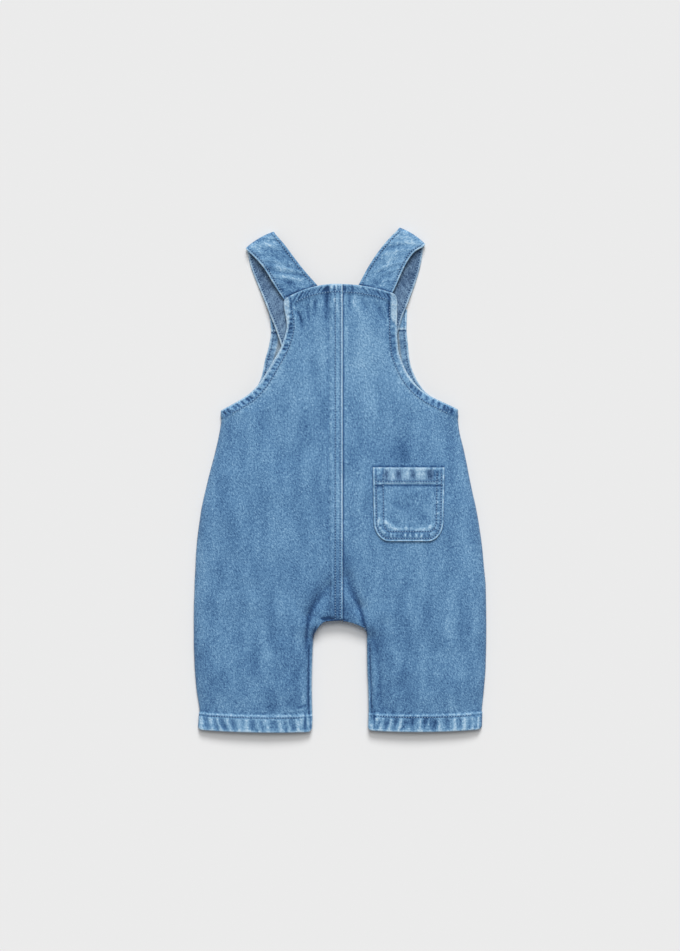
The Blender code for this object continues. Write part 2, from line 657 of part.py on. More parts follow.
def station_rows(table):
    """The table's rows with smooth ones between them."""
    values = np.array([row[1:] for row in table], float)
    middle = (values[:, 0:2] + values[:, 2:4]) / 2
    steps = np.linalg.norm(np.diff(middle, axis=0), axis=1)
    knots = np.concatenate([[0.0], np.cumsum(steps)])
    count = round(knots[-1] / STRAP_STATION)
    return curve_at(knots, values, np.linspace(0.0, knots[-1], count + 1))


def strap(side, finish, collection):
    """A doubled band of cloth, with its long edges rounded."""
    stations = strap_stations(side)
    share = np.array([0.0, 0.04, 0.22, 0.5, 0.78, 0.96, 1.0])
    half = np.array([0.55, 0.95, 1.0, 1.0, 1.0, 0.95, 0.55]) * STRAP_THICKNESS / 2
    out = stations[:, 0:1] + (stations[:, 2:3] - stations[:, 0:1]) * share
    y = stations[:, 1:2] + (stations[:, 3:4] - stations[:, 1:2]) * share
    z = np.broadcast_to(stations[:, 4:5], out.shape)
    middle = np.stack([SIDE_SIGN[side] * out, y, z], axis=2)
    normal = unit(np.cross(np.gradient(middle, axis=0), np.gradient(middle, axis=1)))
    lift = half[None, :, None] * normal
    return wall_object(f"strap_{side}", middle + lift, middle - lift, finish, collection)


# Pocket


def pocket_half_width(down):
    """Half the pocket's width at a distance below its top, rounded into its bottom corners."""
    straight = POCKET_HALF_WIDTH - POCKET_TAPER * down / POCKET_HEIGHT
    into_corner = np.clip(
        (down - (POCKET_HEIGHT - POCKET_CORNER_UP)) / POCKET_CORNER_UP, 0.0, 1.0
    )
    return straight - POCKET_CORNER_ACROSS * (1 - np.sqrt(1 - into_corner**2))


def pocket_outline():
    """Points down one side of the pocket, along its bottom and up the other side."""
    down = POCKET_HEIGHT * np.sin(np.linspace(0.0, np.pi / 2, 16))
    side = [(POCKET_MIDDLE + pocket_half_width(d), POCKET_TOP - d) for d in down]
    return side + [(2 * POCKET_MIDDLE - x, y) for x, y in reversed(side)]


def pocket(finish, collection):
    """A patch laid on the right back: its points are the panel's own, moved out."""
    corner_start = POCKET_HEIGHT - POCKET_CORNER_UP
    into_corner = POCKET_CORNER_UP * np.sin(np.linspace(0.0, np.pi / 2, 7))
    down = np.concatenate(
        [
            [0.0, 1.0, POCKET_HEM, POCKET_HEM + BAND_STEP, 26.0, 38.0],
            corner_start + into_corner,
        ]
    )
    turning = POCKET_TURNING / POCKET_HALF_WIDTH
    step = BAND_STEP / POCKET_HALF_WIDTH
    half = np.array([1 - turning - step, 1 - turning, 0.97, 1.0])
    share = np.concatenate([-half[::-1], [-0.36, 0.0, 0.36], half])
    x = POCKET_MIDDLE + pocket_half_width(down)[:, None] * share
    y = np.broadcast_to(POCKET_TOP - down[:, None], x.shape)
    seat = np.stack([x, y, back_height_at("right", x, y)], axis=2)
    normal = outward(seat)
    to_edge = distance_to_line(x, y, pocket_outline())
    raised = np.maximum(
        band(down[:, None] * np.ones_like(x), POCKET_HEM, POCKET_HEM_RAISE),
        band(to_edge, POCKET_TURNING, POCKET_TURNING_RAISE),
    )[..., None]
    inner = seat + GAP * normal
    return wall_object("pocket", inner + (WALL + raised) * normal, inner, finish, collection)


# Buttons


def button(side, finish, collection):
    """A capped button, face down on the floor, with its shank up through the buttonhole."""
    shank_top = BUTTON_LIFT + WALL + FACING_RAISE
    profile = (
        (0.0, shank_top),
        (BUTTON_SHANK_RADIUS, shank_top),
        (BUTTON_SHANK_RADIUS, BUTTON_CAP),
        (BUTTON_RADIUS - 0.7, BUTTON_CAP),
        (BUTTON_RADIUS, BUTTON_CAP - 0.6),
        (BUTTON_RADIUS, 0.6),
        (BUTTON_RADIUS - 0.6, 0.0),
        (0.0, 0.0),
    )
    mesh = bpy.data.meshes.new(f"button_{side}")
    edges = [(k, k + 1) for k in range(len(profile) - 1)]
    mesh.from_pydata([(r * MM, 0.0, z * MM) for r, z in profile], edges, [])
    mesh.materials.append(finish)
    made = bpy.data.objects.new(f"button_{side}", mesh)
    collection.objects.link(made)
    turn = made.modifiers.new("turn", "SCREW")
    turn.steps = 20
    turn.render_steps = 20
    turn.use_merge_vertices = True
    turn.merge_threshold = 0.00001
    out, up = BUTTON_PLACE[side]
    made.location = (SIDE_SIGN[side] * out * MM, up * MM, 0.0)
    return made


def build():
    for old in list(bpy.data.objects):
        bpy.data.objects.remove(old)
    garment = bpy.data.collections.new("dungarees")
    cutters = bpy.data.collections.new("cutters")
    bpy.context.scene.collection.children.link(garment)
    bpy.context.scene.collection.children.link(cutters)
    denim = material(DENIM_OUTSIDE)
    strap_denim = material(DENIM_STRAP)
    metal = material(BUTTON_METAL)
    for side in ("left", "right"):
        back_panel(side, denim, garment)
        front_panel(side, denim, garment, cutters)
        strap(side, strap_denim, garment)
        button(side, metal, garment)
    pocket(denim, garment)


build()
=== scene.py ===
"""How the baby's denim dungarees look: washed cloth, creases, puckered hems, stitches and light.

Metres, +Z up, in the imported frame. The garment lies on Z = 0 with its back uppermost, +Y runs from
the leg hems to the shoulder folds and +X to the wearer's right. Sizes and tables here are in
millimetres, and MM turns them into metres where a mesh is made. A distance called out runs
outwards from the middle line on either side, so left panels are mirrored by SIDE_SIGN.
"""

import math
from collections import namedtuple

import bpy
import numpy as np
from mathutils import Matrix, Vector
from mathutils.bvhtree import BVHTree


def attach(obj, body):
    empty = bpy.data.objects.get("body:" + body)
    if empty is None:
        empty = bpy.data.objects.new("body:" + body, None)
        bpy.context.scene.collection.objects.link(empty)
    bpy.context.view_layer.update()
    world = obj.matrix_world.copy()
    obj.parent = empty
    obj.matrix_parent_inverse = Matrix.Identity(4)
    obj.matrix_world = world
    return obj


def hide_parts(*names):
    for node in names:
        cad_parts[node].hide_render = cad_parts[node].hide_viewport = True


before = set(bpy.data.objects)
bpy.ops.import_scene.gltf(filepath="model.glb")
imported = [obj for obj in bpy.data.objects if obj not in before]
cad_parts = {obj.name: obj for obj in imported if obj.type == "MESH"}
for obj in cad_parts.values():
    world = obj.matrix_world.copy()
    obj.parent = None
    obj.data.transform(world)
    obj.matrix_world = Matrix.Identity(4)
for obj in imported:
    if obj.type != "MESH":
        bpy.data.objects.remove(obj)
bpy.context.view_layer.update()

MM = 0.001
SIDE_SIGN = {"left": -1.0, "right": 1.0}

# Cloth, with the same sizes as its solids
WALL = 1.2
STRAP_THICKNESS = 2 * WALL
GAP = 0.3
RIM_BULGE = 0.35
HEM_DEPTH = 15.2
ARMHOLE_BAND = 7.4
TOP_BAND = 7.8
FACING_DEPTH = 19.0
HEM_RAISE = 0.8
BAND_RAISE = 0.7
FACING_RAISE = 0.9
SEAM_LAP = 2.4
SEAM_WIDTH = 11.0
SEAM_RAISE = 0.9
SEAM_ROWS = (2.2, 6.9)
HEM_ROW = 13.7
ARMHOLE_ROW = 6.7
TOP_ROW = 7.0
FACING_ROW = 2.2
STRAP_ROW = 2.3
INSEAM_HEIGHT = 5.6
CROTCH_LIFT = 6.6
HEM_CORNER = 3.6
BIB_CORNER = 3.4
FRONT_CORNER = 1.5
BACK_ROLL_OUT = 35.0
BACK_ROLL_IN = 25.0
FRONT_ROLL_OUT = 4.0
FRONT_ROLL_IN = 6.0
FOLD_RADIUS = 2.6
FOLD_STEPS = 12
FOLD_BOW = 1.6
BUTTON_CAP = 2.0
BUTTON_LIFT = 2.3
BUTTON_LIFT_FLAT = 8.5
BUTTON_LIFT_FALL = 16.0
BUTTON_SIDES = 64

# A jeans button, as its radius and height from the shank's top round the rim to the domed middle
BUTTON_PROFILE = (
    (0.0, BUTTON_LIFT + WALL + FACING_RAISE), (1.8, BUTTON_LIFT + WALL + FACING_RAISE),
    (1.8, BUTTON_CAP), (6.2, BUTTON_CAP), (6.7, BUTTON_CAP - 0.2), (7.0, BUTTON_CAP - 0.7),
    (7.0, 0.7), (6.7, 0.2), (6.2, 0.0), (5.7, 0.05), (5.4, 0.35), (5.0, 0.45),
    (4.4, 0.35), (3.0, 0.12), (1.5, 0.04), (0.0, 0.02),
)

# Patch pocket
POCKET_MIDDLE = 64.2
POCKET_TOP = 10.4
POCKET_HEIGHT = 68.6
POCKET_HALF_WIDTH = 33.1
POCKET_TAPER = 1.1
POCKET_CORNER_ACROSS = 14.0
POCKET_CORNER_UP = 18.0
POCKET_HEM = 14.0
POCKET_TURNING = 9.4
POCKET_ROW_NEAR = 2.2
POCKET_ROW_FAR = 9.0
POCKET_ROW_SHIFT = 2.6
POCKET_HEM_ROW = 12.9
POCKET_HEM_REACH = 31.0

# The back's edges at the middle seam: the left one laps over the right one
LAP_EDGE = -SEAM_LAP
UNDER_EDGE = SEAM_LAP + GAP


def table(kind, *rows):
    """The rows as records with named columns."""
    return tuple(kind(*row) for row in rows)


Section = namedtuple("Section", "name in_x in_y out_x out_y dip crown edge_out")

BACK_BODY = {
    "left": table(
        Section,
        ("hem", 26.7, -237.4, 133.1, -235.4, 1.4, 9.0, 4.2),
        ("hem_fold", 26.0, -222.2, 132.2, -220.4, 0.8, 10.2, 3.8),
        ("shin", 26.5, -198.0, 135.4, -196.0, 0.0, 12.0, 3.2),
        ("knee", 26.0, -172.0, 137.2, -161.0, 0.0, 13.0, 3.0),
        ("thigh", 24.8, -150.0, 137.4, -134.0, 0.0, 13.5, 3.0),
        ("crotch_side", 20.9, -140.5, 137.4, -119.0, 0.0, 13.8, 3.0),
        ("crotch_foot", 14.0, -134.2, 137.2, -106.0, 0.0, 14.0, 3.0),
        ("crotch_arch", 5.0, -133.3, 137.0, -98.0, 0.0, 14.0, 3.0),
        ("crotch_seam", LAP_EDGE, -133.0, 136.6, -92.0, 0.0, 14.0, 3.0),
        ("crotch_1", LAP_EDGE, -131.4, 136.4, -89.0, 0.0, 14.0, 3.0),
        ("crotch_4", LAP_EDGE, -127.5, 136.0, -84.0, 0.0, 14.0, 3.0),
        ("crotch_12", LAP_EDGE, -120.0, 135.6, -77.0, 0.0, 14.1, 3.0),
        ("seat_low", LAP_EDGE, -108.0, 134.8, -65.0, 0.0, 14.2, 3.0),
        ("seat", LAP_EDGE, -76.0, 131.0, -34.0, 0.0, 14.6, 3.0),
        ("waist_low", LAP_EDGE, -34.0, 124.6, -2.0, 0.0, 14.8, 3.0),
        ("waist", LAP_EDGE, 10.0, 117.4, 26.0, 0.0, 14.2, 3.0),
        ("ribs", LAP_EDGE, 42.0, 112.8, 48.0, 0.0, 13.4, 3.4),
        ("band_foot", LAP_EDGE, 54.0, 111.7, 55.6, 0.0, 13.0, 3.8),
        ("underarm", LAP_EDGE, 62.0, 111.4, 63.8, 0.0, 12.7, 4.4),
    ),
    "right": table(
        Section,
        ("hem", 26.4, -236.0, 133.1, -235.0, 1.8, 9.0, 4.2),
        ("hem_fold", 26.8, -221.2, 133.4, -220.4, 1.2, 10.2, 3.8),
        ("shin", 26.4, -198.0, 135.4, -200.0, 0.0, 12.0, 3.2),
        ("knee", 25.5, -170.0, 137.3, -164.5, 0.0, 13.0, 3.0),
        ("thigh", 25.3, -150.0, 137.5, -138.0, 0.0, 13.5, 3.0),
        ("crotch_side", 23.6, -141.6, 137.3, -122.0, 0.0, 13.8, 3.0),
        ("crotch_foot", 14.6, -136.2, 137.0, -108.0, 0.0, 14.0, 3.0),
        ("crotch_arch", 8.0, -134.2, 136.8, -100.0, 0.0, 14.0, 3.0),
        ("crotch_seam", UNDER_EDGE, -133.4, 136.4, -95.0, 0.0, 14.0, 3.0),
        ("crotch_1", UNDER_EDGE, -131.8, 136.0, -91.0, 0.0, 14.0, 3.0),
        ("crotch_4", UNDER_EDGE, -127.8, 135.5, -85.0, 0.0, 14.0, 3.0),
        ("crotch_12", UNDER_EDGE, -120.0, 134.9, -77.0, 0.0, 14.1, 3.0),
        ("seat_low", UNDER_EDGE, -108.0, 134.0, -66.0, 0.0, 14.2, 3.0),
        ("seat", UNDER_EDGE, -76.0, 129.6, -36.0, 0.0, 14.6, 3.0),
        ("waist_low", UNDER_EDGE, -34.0, 122.6, -2.0, 0.0, 14.8, 3.0),
        ("waist", UNDER_EDGE, 10.0, 117.0, 26.0, 0.0, 14.2, 3.0),
        ("ribs", UNDER_EDGE, 42.0, 111.8, 48.0, 0.0, 13.4, 3.4),
        ("band_foot", UNDER_EDGE, 54.0, 110.8, 56.0, 0.0, 13.0, 3.8),
        ("underarm", UNDER_EDGE, 62.0, 110.2, 64.8, 0.0, 12.7, 4.4),
    ),
}

BACK_BIB = {
    "left": table(
        Section,
        BACK_BODY["left"][-1],
        ("arm_1", LAP_EDGE, 72.0, 94.7, 72.9, 0.0, 12.4, 7.4),
        ("arm_2", LAP_EDGE, 80.0, 84.6, 79.6, 0.0, 12.2, 8.4),
        ("arm_3", LAP_EDGE, 92.0, 74.3, 90.8, 0.0, 12.0, 9.4),
        ("arm_4", LAP_EDGE, 108.0, 64.4, 107.0, 0.0, 11.8, 10.0),
        ("arm_5", LAP_EDGE, 128.0, 53.8, 127.0, 0.0, 11.8, 10.3),
        ("arm_6", LAP_EDGE, 146.0, 49.8, 143.4, -0.6, 11.8, 10.6),
        ("band_top", LAP_EDGE, 174.6, 52.2, 160.2, -4.0, 11.8, 11.0),
        ("top", LAP_EDGE, 182.4, 53.1, 167.9, -4.6, 11.8, 11.2),
    ),
    "right": table(
        Section,
        BACK_BODY["right"][-1],
        ("arm_1", UNDER_EDGE, 72.0, 95.0, 72.0, 0.0, 12.4, 7.4),
        ("arm_2", UNDER_EDGE, 80.0, 82.0, 78.8, 0.0, 12.2, 8.4),
        ("arm_3", UNDER_EDGE, 90.0, 70.8, 88.0, 0.0, 12.0, 9.4),
        ("arm_4", UNDER_EDGE, 104.0, 60.3, 104.0, 0.0, 11.8, 10.0),
        ("arm_5", UNDER_EDGE, 124.0, 54.2, 123.4, 0.0, 11.8, 10.3),
        ("arm_6", UNDER_EDGE, 146.0, 53.2, 143.4, -0.4, 11.8, 10.6),
        ("band_top", UNDER_EDGE, 174.6, 53.5, 164.6, -1.8, 11.8, 11.0),
        ("top", UNDER_EDGE, 182.4, 53.0, 172.6, -2.2, 11.8, 11.2),
    ),
}

Edge = namedtuple("Edge", "name in_y out_x out_y")

FRONT_BIB = {
    "left": table(
        Edge,
        ("arm_1", 72.0, 94.7, 72.9),
        ("arm_2", 82.0, 81.0, 82.8),
        ("arm_3", 95.0, 74.0, 95.0),
        ("arm_4", 112.0, 70.2, 112.0),
        ("arm_5", 128.0, 66.2, 127.0),
        ("facing_foot", 141.0, 64.6, 138.8),
        ("top", 160.0, 66.7, 157.8),
    ),
    "right": table(
        Edge,
        ("arm_1", 72.0, 95.0, 72.0),
        ("arm_2", 80.0, 80.0, 82.0),
        ("arm_3", 92.0, 71.0, 95.0),
        ("arm_4", 110.0, 65.6, 109.6),
        ("arm_5", 128.0, 63.5, 128.0),
        ("facing_foot", 141.0, 62.4, 140.8),
        ("top", 160.0, 62.9, 159.8),
    ),
}

Station = namedtuple("Station", "name outer_x outer_y inner_x inner_y height")

STRAP_UPPER = {
    "left": table(
        Station,
        ("sewn_end", 49.4, 164.5, 18.2, 177.9, 8.3),
        ("bib_edge", 52.7, 168.9, 21.6, 181.7, 8.3),
        ("low", 63.2, 184.8, 34.8, 196.8, 8.2),
        ("middle", 71.1, 197.7, 43.7, 208.3, 8.0),
        ("high", 79.4, 207.4, 52.4, 220.0, 7.4),
        ("fold", 86.9, 214.7, 61.0, 230.0, WALL + 2 * FOLD_RADIUS),
    ),
    "right": table(
        Station,
        ("sewn_end", 46.8, 171.4, 15.4, 178.1, 8.3),
        ("bib_edge", 49.6, 175.8, 18.0, 182.6, 8.3),
        ("low", 57.3, 192.7, 26.6, 198.6, 8.2),
        ("middle", 63.0, 204.2, 35.6, 212.4, 8.0),
        ("high", 69.8, 213.2, 45.4, 224.6, 7.4),
        ("fold", 78.4, 218.5, 54.5, 233.9, WALL + 2 * FOLD_RADIUS),
    ),
}

STRAP_LOWER = {
    "left": table(
        Station,
        ("fold", 86.9, 214.7, 61.0, 230.0, WALL),
        ("low_1", 84.2, 201.5, 56.6, 213.2, WALL),
        ("low_2", 78.2, 185.5, 50.1, 195.9, 1.8),
        ("low_3", 71.4, 169.2, 43.3, 179.6, 3.6),
        ("bib_edge", 68.2, 161.2, 40.1, 171.6, 5.0),
        ("low_4", 65.3, 153.6, 37.2, 164.0, 6.1),
        ("button", 60.6, 141.8, 32.5, 152.2, 6.4),
        ("end", 53.8, 121.4, 25.7, 131.8, 6.2),
    ),
    "right": table(
        Station,
        ("fold", 78.4, 218.5, 54.5, 233.9, WALL),
        ("low_1", 76.0, 203.5, 47.5, 212.9, WALL),
        ("low_2", 71.0, 185.5, 42.4, 194.5, 1.8),
        ("low_3", 65.8, 171.4, 37.2, 180.4, 3.6),
        ("bib_edge", 62.6, 162.8, 34.0, 171.8, 5.0),
        ("low_4", 58.6, 153.4, 30.0, 162.4, 6.1),
        ("button", 55.4, 142.4, 26.8, 151.4, 6.4),
        ("end", 50.0, 124.5, 21.4, 133.5, 6.2),
    ),
}

BUTTON_PLACE = {"left": (46.5, 147.0), "right": (41.1, 147.0)}

Fold = namedtuple("Fold", "name x1 y1 x2 y2 width height")

FOLDS = table(
    Fold,
    ("left_crotch_low", -30.4, -156.0, -28.4, -129.0, 6.0, -2.0),
    ("left_crotch_high", -28.4, -129.0, -11.0, -102.0, 7.0, -1.8),
    ("right_crotch_low", 24.5, -150.0, 18.0, -122.0, 6.0, -2.0),
    ("right_crotch_high", 18.0, -122.0, 6.0, -93.0, 7.0, -1.8),
    ("right_thigh", 40.4, -138.0, 39.4, -214.0, 8.0, -1.0),
    ("left_shin", -55.0, -160.0, -48.0, -214.0, 10.0, 0.7),
    ("left_hip", -100.0, -30.0, -84.0, -110.0, 14.0, 0.6),
    ("left_armhole", -76.0, 76.0, -56.0, 20.0, 11.0, -0.8),
    ("right_armhole", 78.0, 66.0, 60.0, 34.0, 10.0, -0.6),
    ("left_bib", -30.0, 160.0, -34.0, 110.0, 7.0, -0.7),
    ("right_bib", 38.0, 158.0, 34.0, 118.0, 8.0, 0.5),
)
FOLD_FADE = 22.0

# Narrow creases of the back, as points along each with a half width, a depth and a shade that says how
# dark its bottom is
# painted: painted shade in the trough. crotch_arch has no trough and only darkens the crotch with
# painted shade.
Bend = namedtuple("Bend", "x y width depth shade")

CREASES = {
    "left_crotch": table(
        Bend,
        (-31.0, -168.0, 2.6, 0.4, 0.15), (-31.4, -158.0, 2.0, 0.9, 0.55),
        (-31.0, -146.0, 1.3, 1.3, 0.85), (-30.0, -134.0, 1.4, 1.4, 1.00),
        (-27.6, -124.0, 1.9, 1.4, 0.90), (-24.4, -117.0, 3.6, 1.2, 0.66),
        (-20.0, -110.5, 5.4, 1.0, 0.56), (-15.5, -105.5, 6.0, 0.8, 0.46),
        (-10.5, -99.0, 4.0, 0.4, 0.16),
    ),
    "left_flank": table(
        Bend,
        (-29.0, -119.0, 5.0, 0.3, 0.16), (-22.0, -104.0, 6.0, 0.3, 0.26),
        (-15.0, -92.0, 5.0, 0.2, 0.14),
    ),
    "right_crotch": table(
        Bend,
        (24.4, -147.0, 1.4, 0.8, 0.50), (22.8, -139.0, 1.3, 1.3, 1.00),
        (20.4, -127.0, 1.5, 1.4, 1.05), (17.0, -117.0, 1.8, 1.4, 0.92),
        (12.4, -107.6, 2.8, 1.1, 0.70), (8.6, -99.0, 4.4, 0.9, 0.52),
        (6.2, -89.0, 4.8, 0.6, 0.38), (4.6, -76.0, 3.6, 0.3, 0.28),
        (4.0, -62.0, 2.6, 0.1, 0.08),
    ),
    "crotch_arch": table(
        Bend,
        (-22.0, -126.0, 7.0, 0.0, 0.20), (-12.0, -121.0, 9.0, 0.0, 0.26),
        (0.0, -122.0, 9.0, 0.0, 0.34), (14.0, -126.0, 7.0, 0.0, 0.24),
    ),
    # Painted shadow of the gap under the crotch's edge.
    "crotch_gap": table(
        Bend,
        (-18.0, -130.6, 0.9, 0.3, 0.80), (-15.0, -131.2, 1.8, 0.6, 1.80),
        (-11.0, -131.6, 2.4, 0.7, 2.10), (-6.5, -132.4, 1.6, 0.6, 2.00),
        (-1.0, -132.9, 1.1, 0.4, 1.80), (4.0, -132.9, 0.9, 0.3, 1.30),
        (8.5, -132.4, 0.8, 0.2, 0.50),
    ),
    # Painted shadow of the gap between the leg and the crotch.
    "left_inseam": table(
        Bend,
        (-22.2, -138.0, 1.0, 0.4, 0.60), (-23.4, -141.5, 1.2, 0.5, 1.30),
        (-24.8, -147.0, 1.0, 0.5, 1.10), (-26.2, -154.0, 1.0, 0.3, 0.50),
        (-27.4, -162.0, 1.4, 0.2, 0.10),
    ),
    "right_inseam": table(
        Bend,
        (30.5, -140.0, 2.6, 0.3, 0.25), (34.0, -160.0, 3.0, 0.6, 0.42),
        (36.4, -180.0, 3.0, 0.8, 0.50), (38.0, -205.0, 3.0, 0.7, 0.44),
        (39.0, -219.0, 2.6, 0.3, 0.20),
    ),
    "left_bib_1": table(
        Bend,
        (-41.5, 158.0, 1.2, 0.3, 0.20), (-38.2, 154.5, 1.4, 0.7, 0.95),
        (-36.0, 148.0, 1.4, 0.7, 0.95), (-36.2, 141.0, 1.4, 0.3, 0.30),
    ),
    "left_bib_2": table(
        Bend,
        (-23.4, 166.5, 1.5, 0.6, 0.90), (-24.3, 153.0, 1.5, 0.4, 0.40),
    ),
    "left_bib_3": table(
        Bend,
        (-31.5, 161.0, 1.5, 0.4, 0.40), (-29.6, 154.0, 1.6, 0.5, 0.45),
        (-28.8, 144.0, 1.6, 0.2, 0.15),
    ),
    "left_bib_4": table(
        Bend,
        (-11.6, 175.0, 2.2, 0.5, 0.90), (-12.8, 166.0, 1.9, 0.6, 0.80),
        (-13.2, 148.0, 1.6, 0.4, 0.40),
    ),
    "right_bib_1": table(
        Bend,
        (45.2, 164.0, 1.8, 0.8, 0.80), (46.2, 156.0, 1.8, 0.8, 0.90),
        (46.8, 146.0, 1.6, 0.4, 0.30),
    ),
    "right_bib_2": table(
        Bend,
        (33.0, 164.0, 2.2, 0.5, 0.35), (38.5, 157.0, 3.0, 0.6, 0.50),
        (42.5, 147.0, 2.4, 0.4, 0.30),
    ),
    "right_bib_3": table(
        Bend,
        (20.0, 168.0, 1.4, 0.4, 0.40), (24.5, 161.0, 1.6, 0.4, 0.25),
    ),
    "right_bib_4": table(
        Bend,
        (8.4, 172.0, 1.3, 0.4, 0.45), (9.5, 158.0, 1.3, 0.3, 0.20),
    ),
    "bib_right_low": table(
        Bend,
        (46.0, 140.0, 3.0, 0.4, 0.35), (50.0, 118.0, 4.0, 0.3, 0.15),
    ),
    "above_pocket": table(
        Bend,
        (56.0, 36.0, 5.0, 0.3, 0.25), (62.0, 18.0, 6.0, 0.3, 0.32),
    ),
}

# Paler and darker spots: the half length lies along the angle, turned from +X towards +Y
Spot = namedtuple("Spot", "x y long wide angle wear")

BACK_SPOTS = {
    "left": table(
        Spot,
        (-5.5, 180.6, 7.0, 2.4, 4, 0.75), (-12.5, 179.0, 2.6, 1.4, 60, -0.60),
        (-5.0, 168.5, 1.8, 1.5, 90, 0.60), (-3.0, 160.0, 3.0, 1.4, 90, 0.35),
        (-16.0, 166.0, 2.6, 1.4, 90, 0.40), (-20.0, 163.0, 3.4, 1.3, 100, 0.35),
        (-27.0, 165.0, 3.4, 1.2, 70, 0.35), (-37.0, -227.5, 9.0, 3.2, 90, 0.85),
        (-30.0, -227.5, 9.0, 1.6, 90, 0.60), (-32.8, -227.5, 9.0, 0.8, 90, -0.90),
        (-27.6, -227.5, 9.0, 0.8, 90, -0.60), (-34.0, -206.0, 8.0, 2.0, 90, 0.42),
        (-40.0, -216.5, 7.0, 1.4, 12, 0.40), (-36.0, -213.6, 5.0, 1.0, 18, -0.70),
        (-62.0, -213.0, 22.0, 5.0, 8, -0.20), (-45.0, -186.0, 12.0, 7.0, 60, -0.22),
        (-117.5, 19.5, 1.0, 1.0, 0, 0.70),
    ),
    "right": table(
        Spot,
        (10.5, 179.5, 4.0, 2.2, 90, -0.30), (12.0, 166.0, 4.6, 1.2, 112, 0.45),
        (17.0, 160.0, 5.0, 1.6, 112, 0.25), (27.0, 120.0, 26.0, 13.0, 80, 0.24),
        (46.0, 128.0, 10.0, 3.0, 95, -0.25), (28.4, -228.0, 6.4, 2.0, 90, 0.66),
        (32.4, -226.0, 9.0, 0.9, 90, -1.05), (36.5, -224.0, 3.0, 2.0, 90, 0.40),
        (42.2, -229.0, 5.0, 2.4, 90, -0.50), (52.0, -226.0, 4.6, 3.0, 80, -0.55),
        (66.5, -227.0, 5.0, 3.4, 80, -0.85), (80.0, -227.0, 5.0, 3.4, 80, -0.80),
        (90.0, -228.0, 5.0, 2.0, 85, -0.60), (100.0, -227.0, 5.0, 2.6, 85, -0.50),
        (60.0, -176.0, 30.0, 9.0, 85, -0.12), (104.0, -170.0, 34.0, 12.0, 92, 0.14),
        (60.0, 28.0, 16.0, 8.0, 30, -0.22), (96.0, 70.0, 16.0, 6.0, -40, -0.14),
    ),
}

# On the straps the pale spots are painted highlights and the dark ones painted shade, on the wrinkles
# and under the bib's edge.
STRAP_SPOTS = {
    "left": table(
        Spot,
        (-66.0, 219.0, 8.0, 1.0, -27, 0.55), (-76.0, 214.0, 6.0, 2.0, -50, 0.30),
        (-50.5, 198.5, 8.0, 1.2, -30, 0.45), (-58.0, 207.0, 6.0, 1.2, 140, -0.35),
        (-49.0, 189.5, 9.0, 1.1, -12, 0.55), (-46.0, 183.5, 8.0, 2.6, -18, -0.50),
        (-54.0, 178.0, 6.0, 2.4, -40, -0.40), (-66.0, 200.0, 5.0, 3.4, 30, -0.30),
        (-73.0, 221.5, 9.0, 2.4, 30, 0.22), (-35.0, 188.0, 4.0, 1.2, 40, 0.30),
    ),
    "right": table(
        Spot,
        (62.0, 222.0, 9.0, 5.0, 40, 0.22), (47.0, 205.0, 8.0, 1.2, 60, 0.45),
        (56.0, 208.0, 7.0, 1.4, 100, -0.28), (38.0, 193.0, 7.0, 2.2, 40, -0.42),
        (44.0, 187.0, 8.0, 1.4, 20, 0.36), (34.0, 184.0, 6.0, 2.0, 10, -0.36),
        (52.0, 194.0, 6.0, 1.6, 70, 0.30), (66.0, 213.0, 6.0, 1.4, 30, -0.26),
    ),
}

POCKET_SPOTS = table(
    Spot,
    (43.6, 4.0, 4.6, 2.0, 90, -0.80), (55.0, 4.0, 4.4, 3.0, 90, -1.00),
    (68.4, 4.2, 4.8, 2.4, 90, -0.85), (84.0, 4.0, 5.0, 2.8, 95, -1.05),
    (91.2, 5.0, 4.0, 1.2, 80, -0.50), (49.0, 4.0, 4.8, 2.0, 90, 0.34),
    (61.4, 3.6, 4.8, 3.4, 90, 0.40), (75.4, 3.8, 4.4, 3.0, 90, 0.34),
    (79.6, 3.6, 4.8, 1.6, 90, 0.24), (36.0, 7.6, 4.0, 2.2, 20, 0.35),
    (42.6, -40.4, 2.6, 2.2, 0, 1.00), (47.0, -44.0, 4.2, 2.4, -35, 0.85),
    (52.6, -46.8, 3.2, 1.8, -10, 0.75), (57.4, -47.2, 2.0, 1.4, 0, 0.55),
    (62.2, -46.4, 1.7, 1.9, 90, 1.00), (67.0, -46.6, 1.6, 1.6, 90, 0.70),
    (71.4, -47.4, 1.8, 1.3, 0, 0.60), (76.4, -47.2, 3.6, 1.5, 5, 0.90),
    (84.2, -44.8, 3.0, 1.5, 35, 0.95), (91.0, -32.2, 1.6, 2.0, 90, 0.80),
    (89.9, -44.0, 1.8, 1.6, 60, 0.95), (90.6, -21.4, 1.6, 1.5, 90, 0.75),
    (36.2, -38.6, 4.6, 0.9, 80, 0.85), (38.6, -47.4, 3.2, 1.0, 125, 0.80),
    (41.6, -50.4, 1.5, 1.3, 60, 1.00), (47.6, -52.4, 2.2, 1.5, 90, 0.70),
    (61.0, -52.6, 1.7, 1.3, 90, 0.90), (66.0, -52.8, 1.4, 1.1, 90, 0.60),
    (71.0, -53.2, 1.8, 1.3, 90, 0.85), (77.0, -53.0, 2.4, 1.0, 60, 0.60),
    (85.6, -51.2, 2.0, 1.5, 40, 0.95), (56.0, -24.0, 7.0, 3.0, 160, -0.30),
    (78.0, -36.0, 4.0, 3.0, 60, -0.28),
)

# Where the puckers cross the leg hems, along X
HEM_RIDGES = {
    "left": (-129.0, -120.0, -112.0, -102.5, -93.0, -86.0, -75.5, -67.0, -56.0, -48.0, -39.0),
    "right": (31.0, 38.2, 46.7, 55.5, 62.5, 74.2, 84.0, 94.0, 106.5, 115.5, 124.0, 130.5),
}

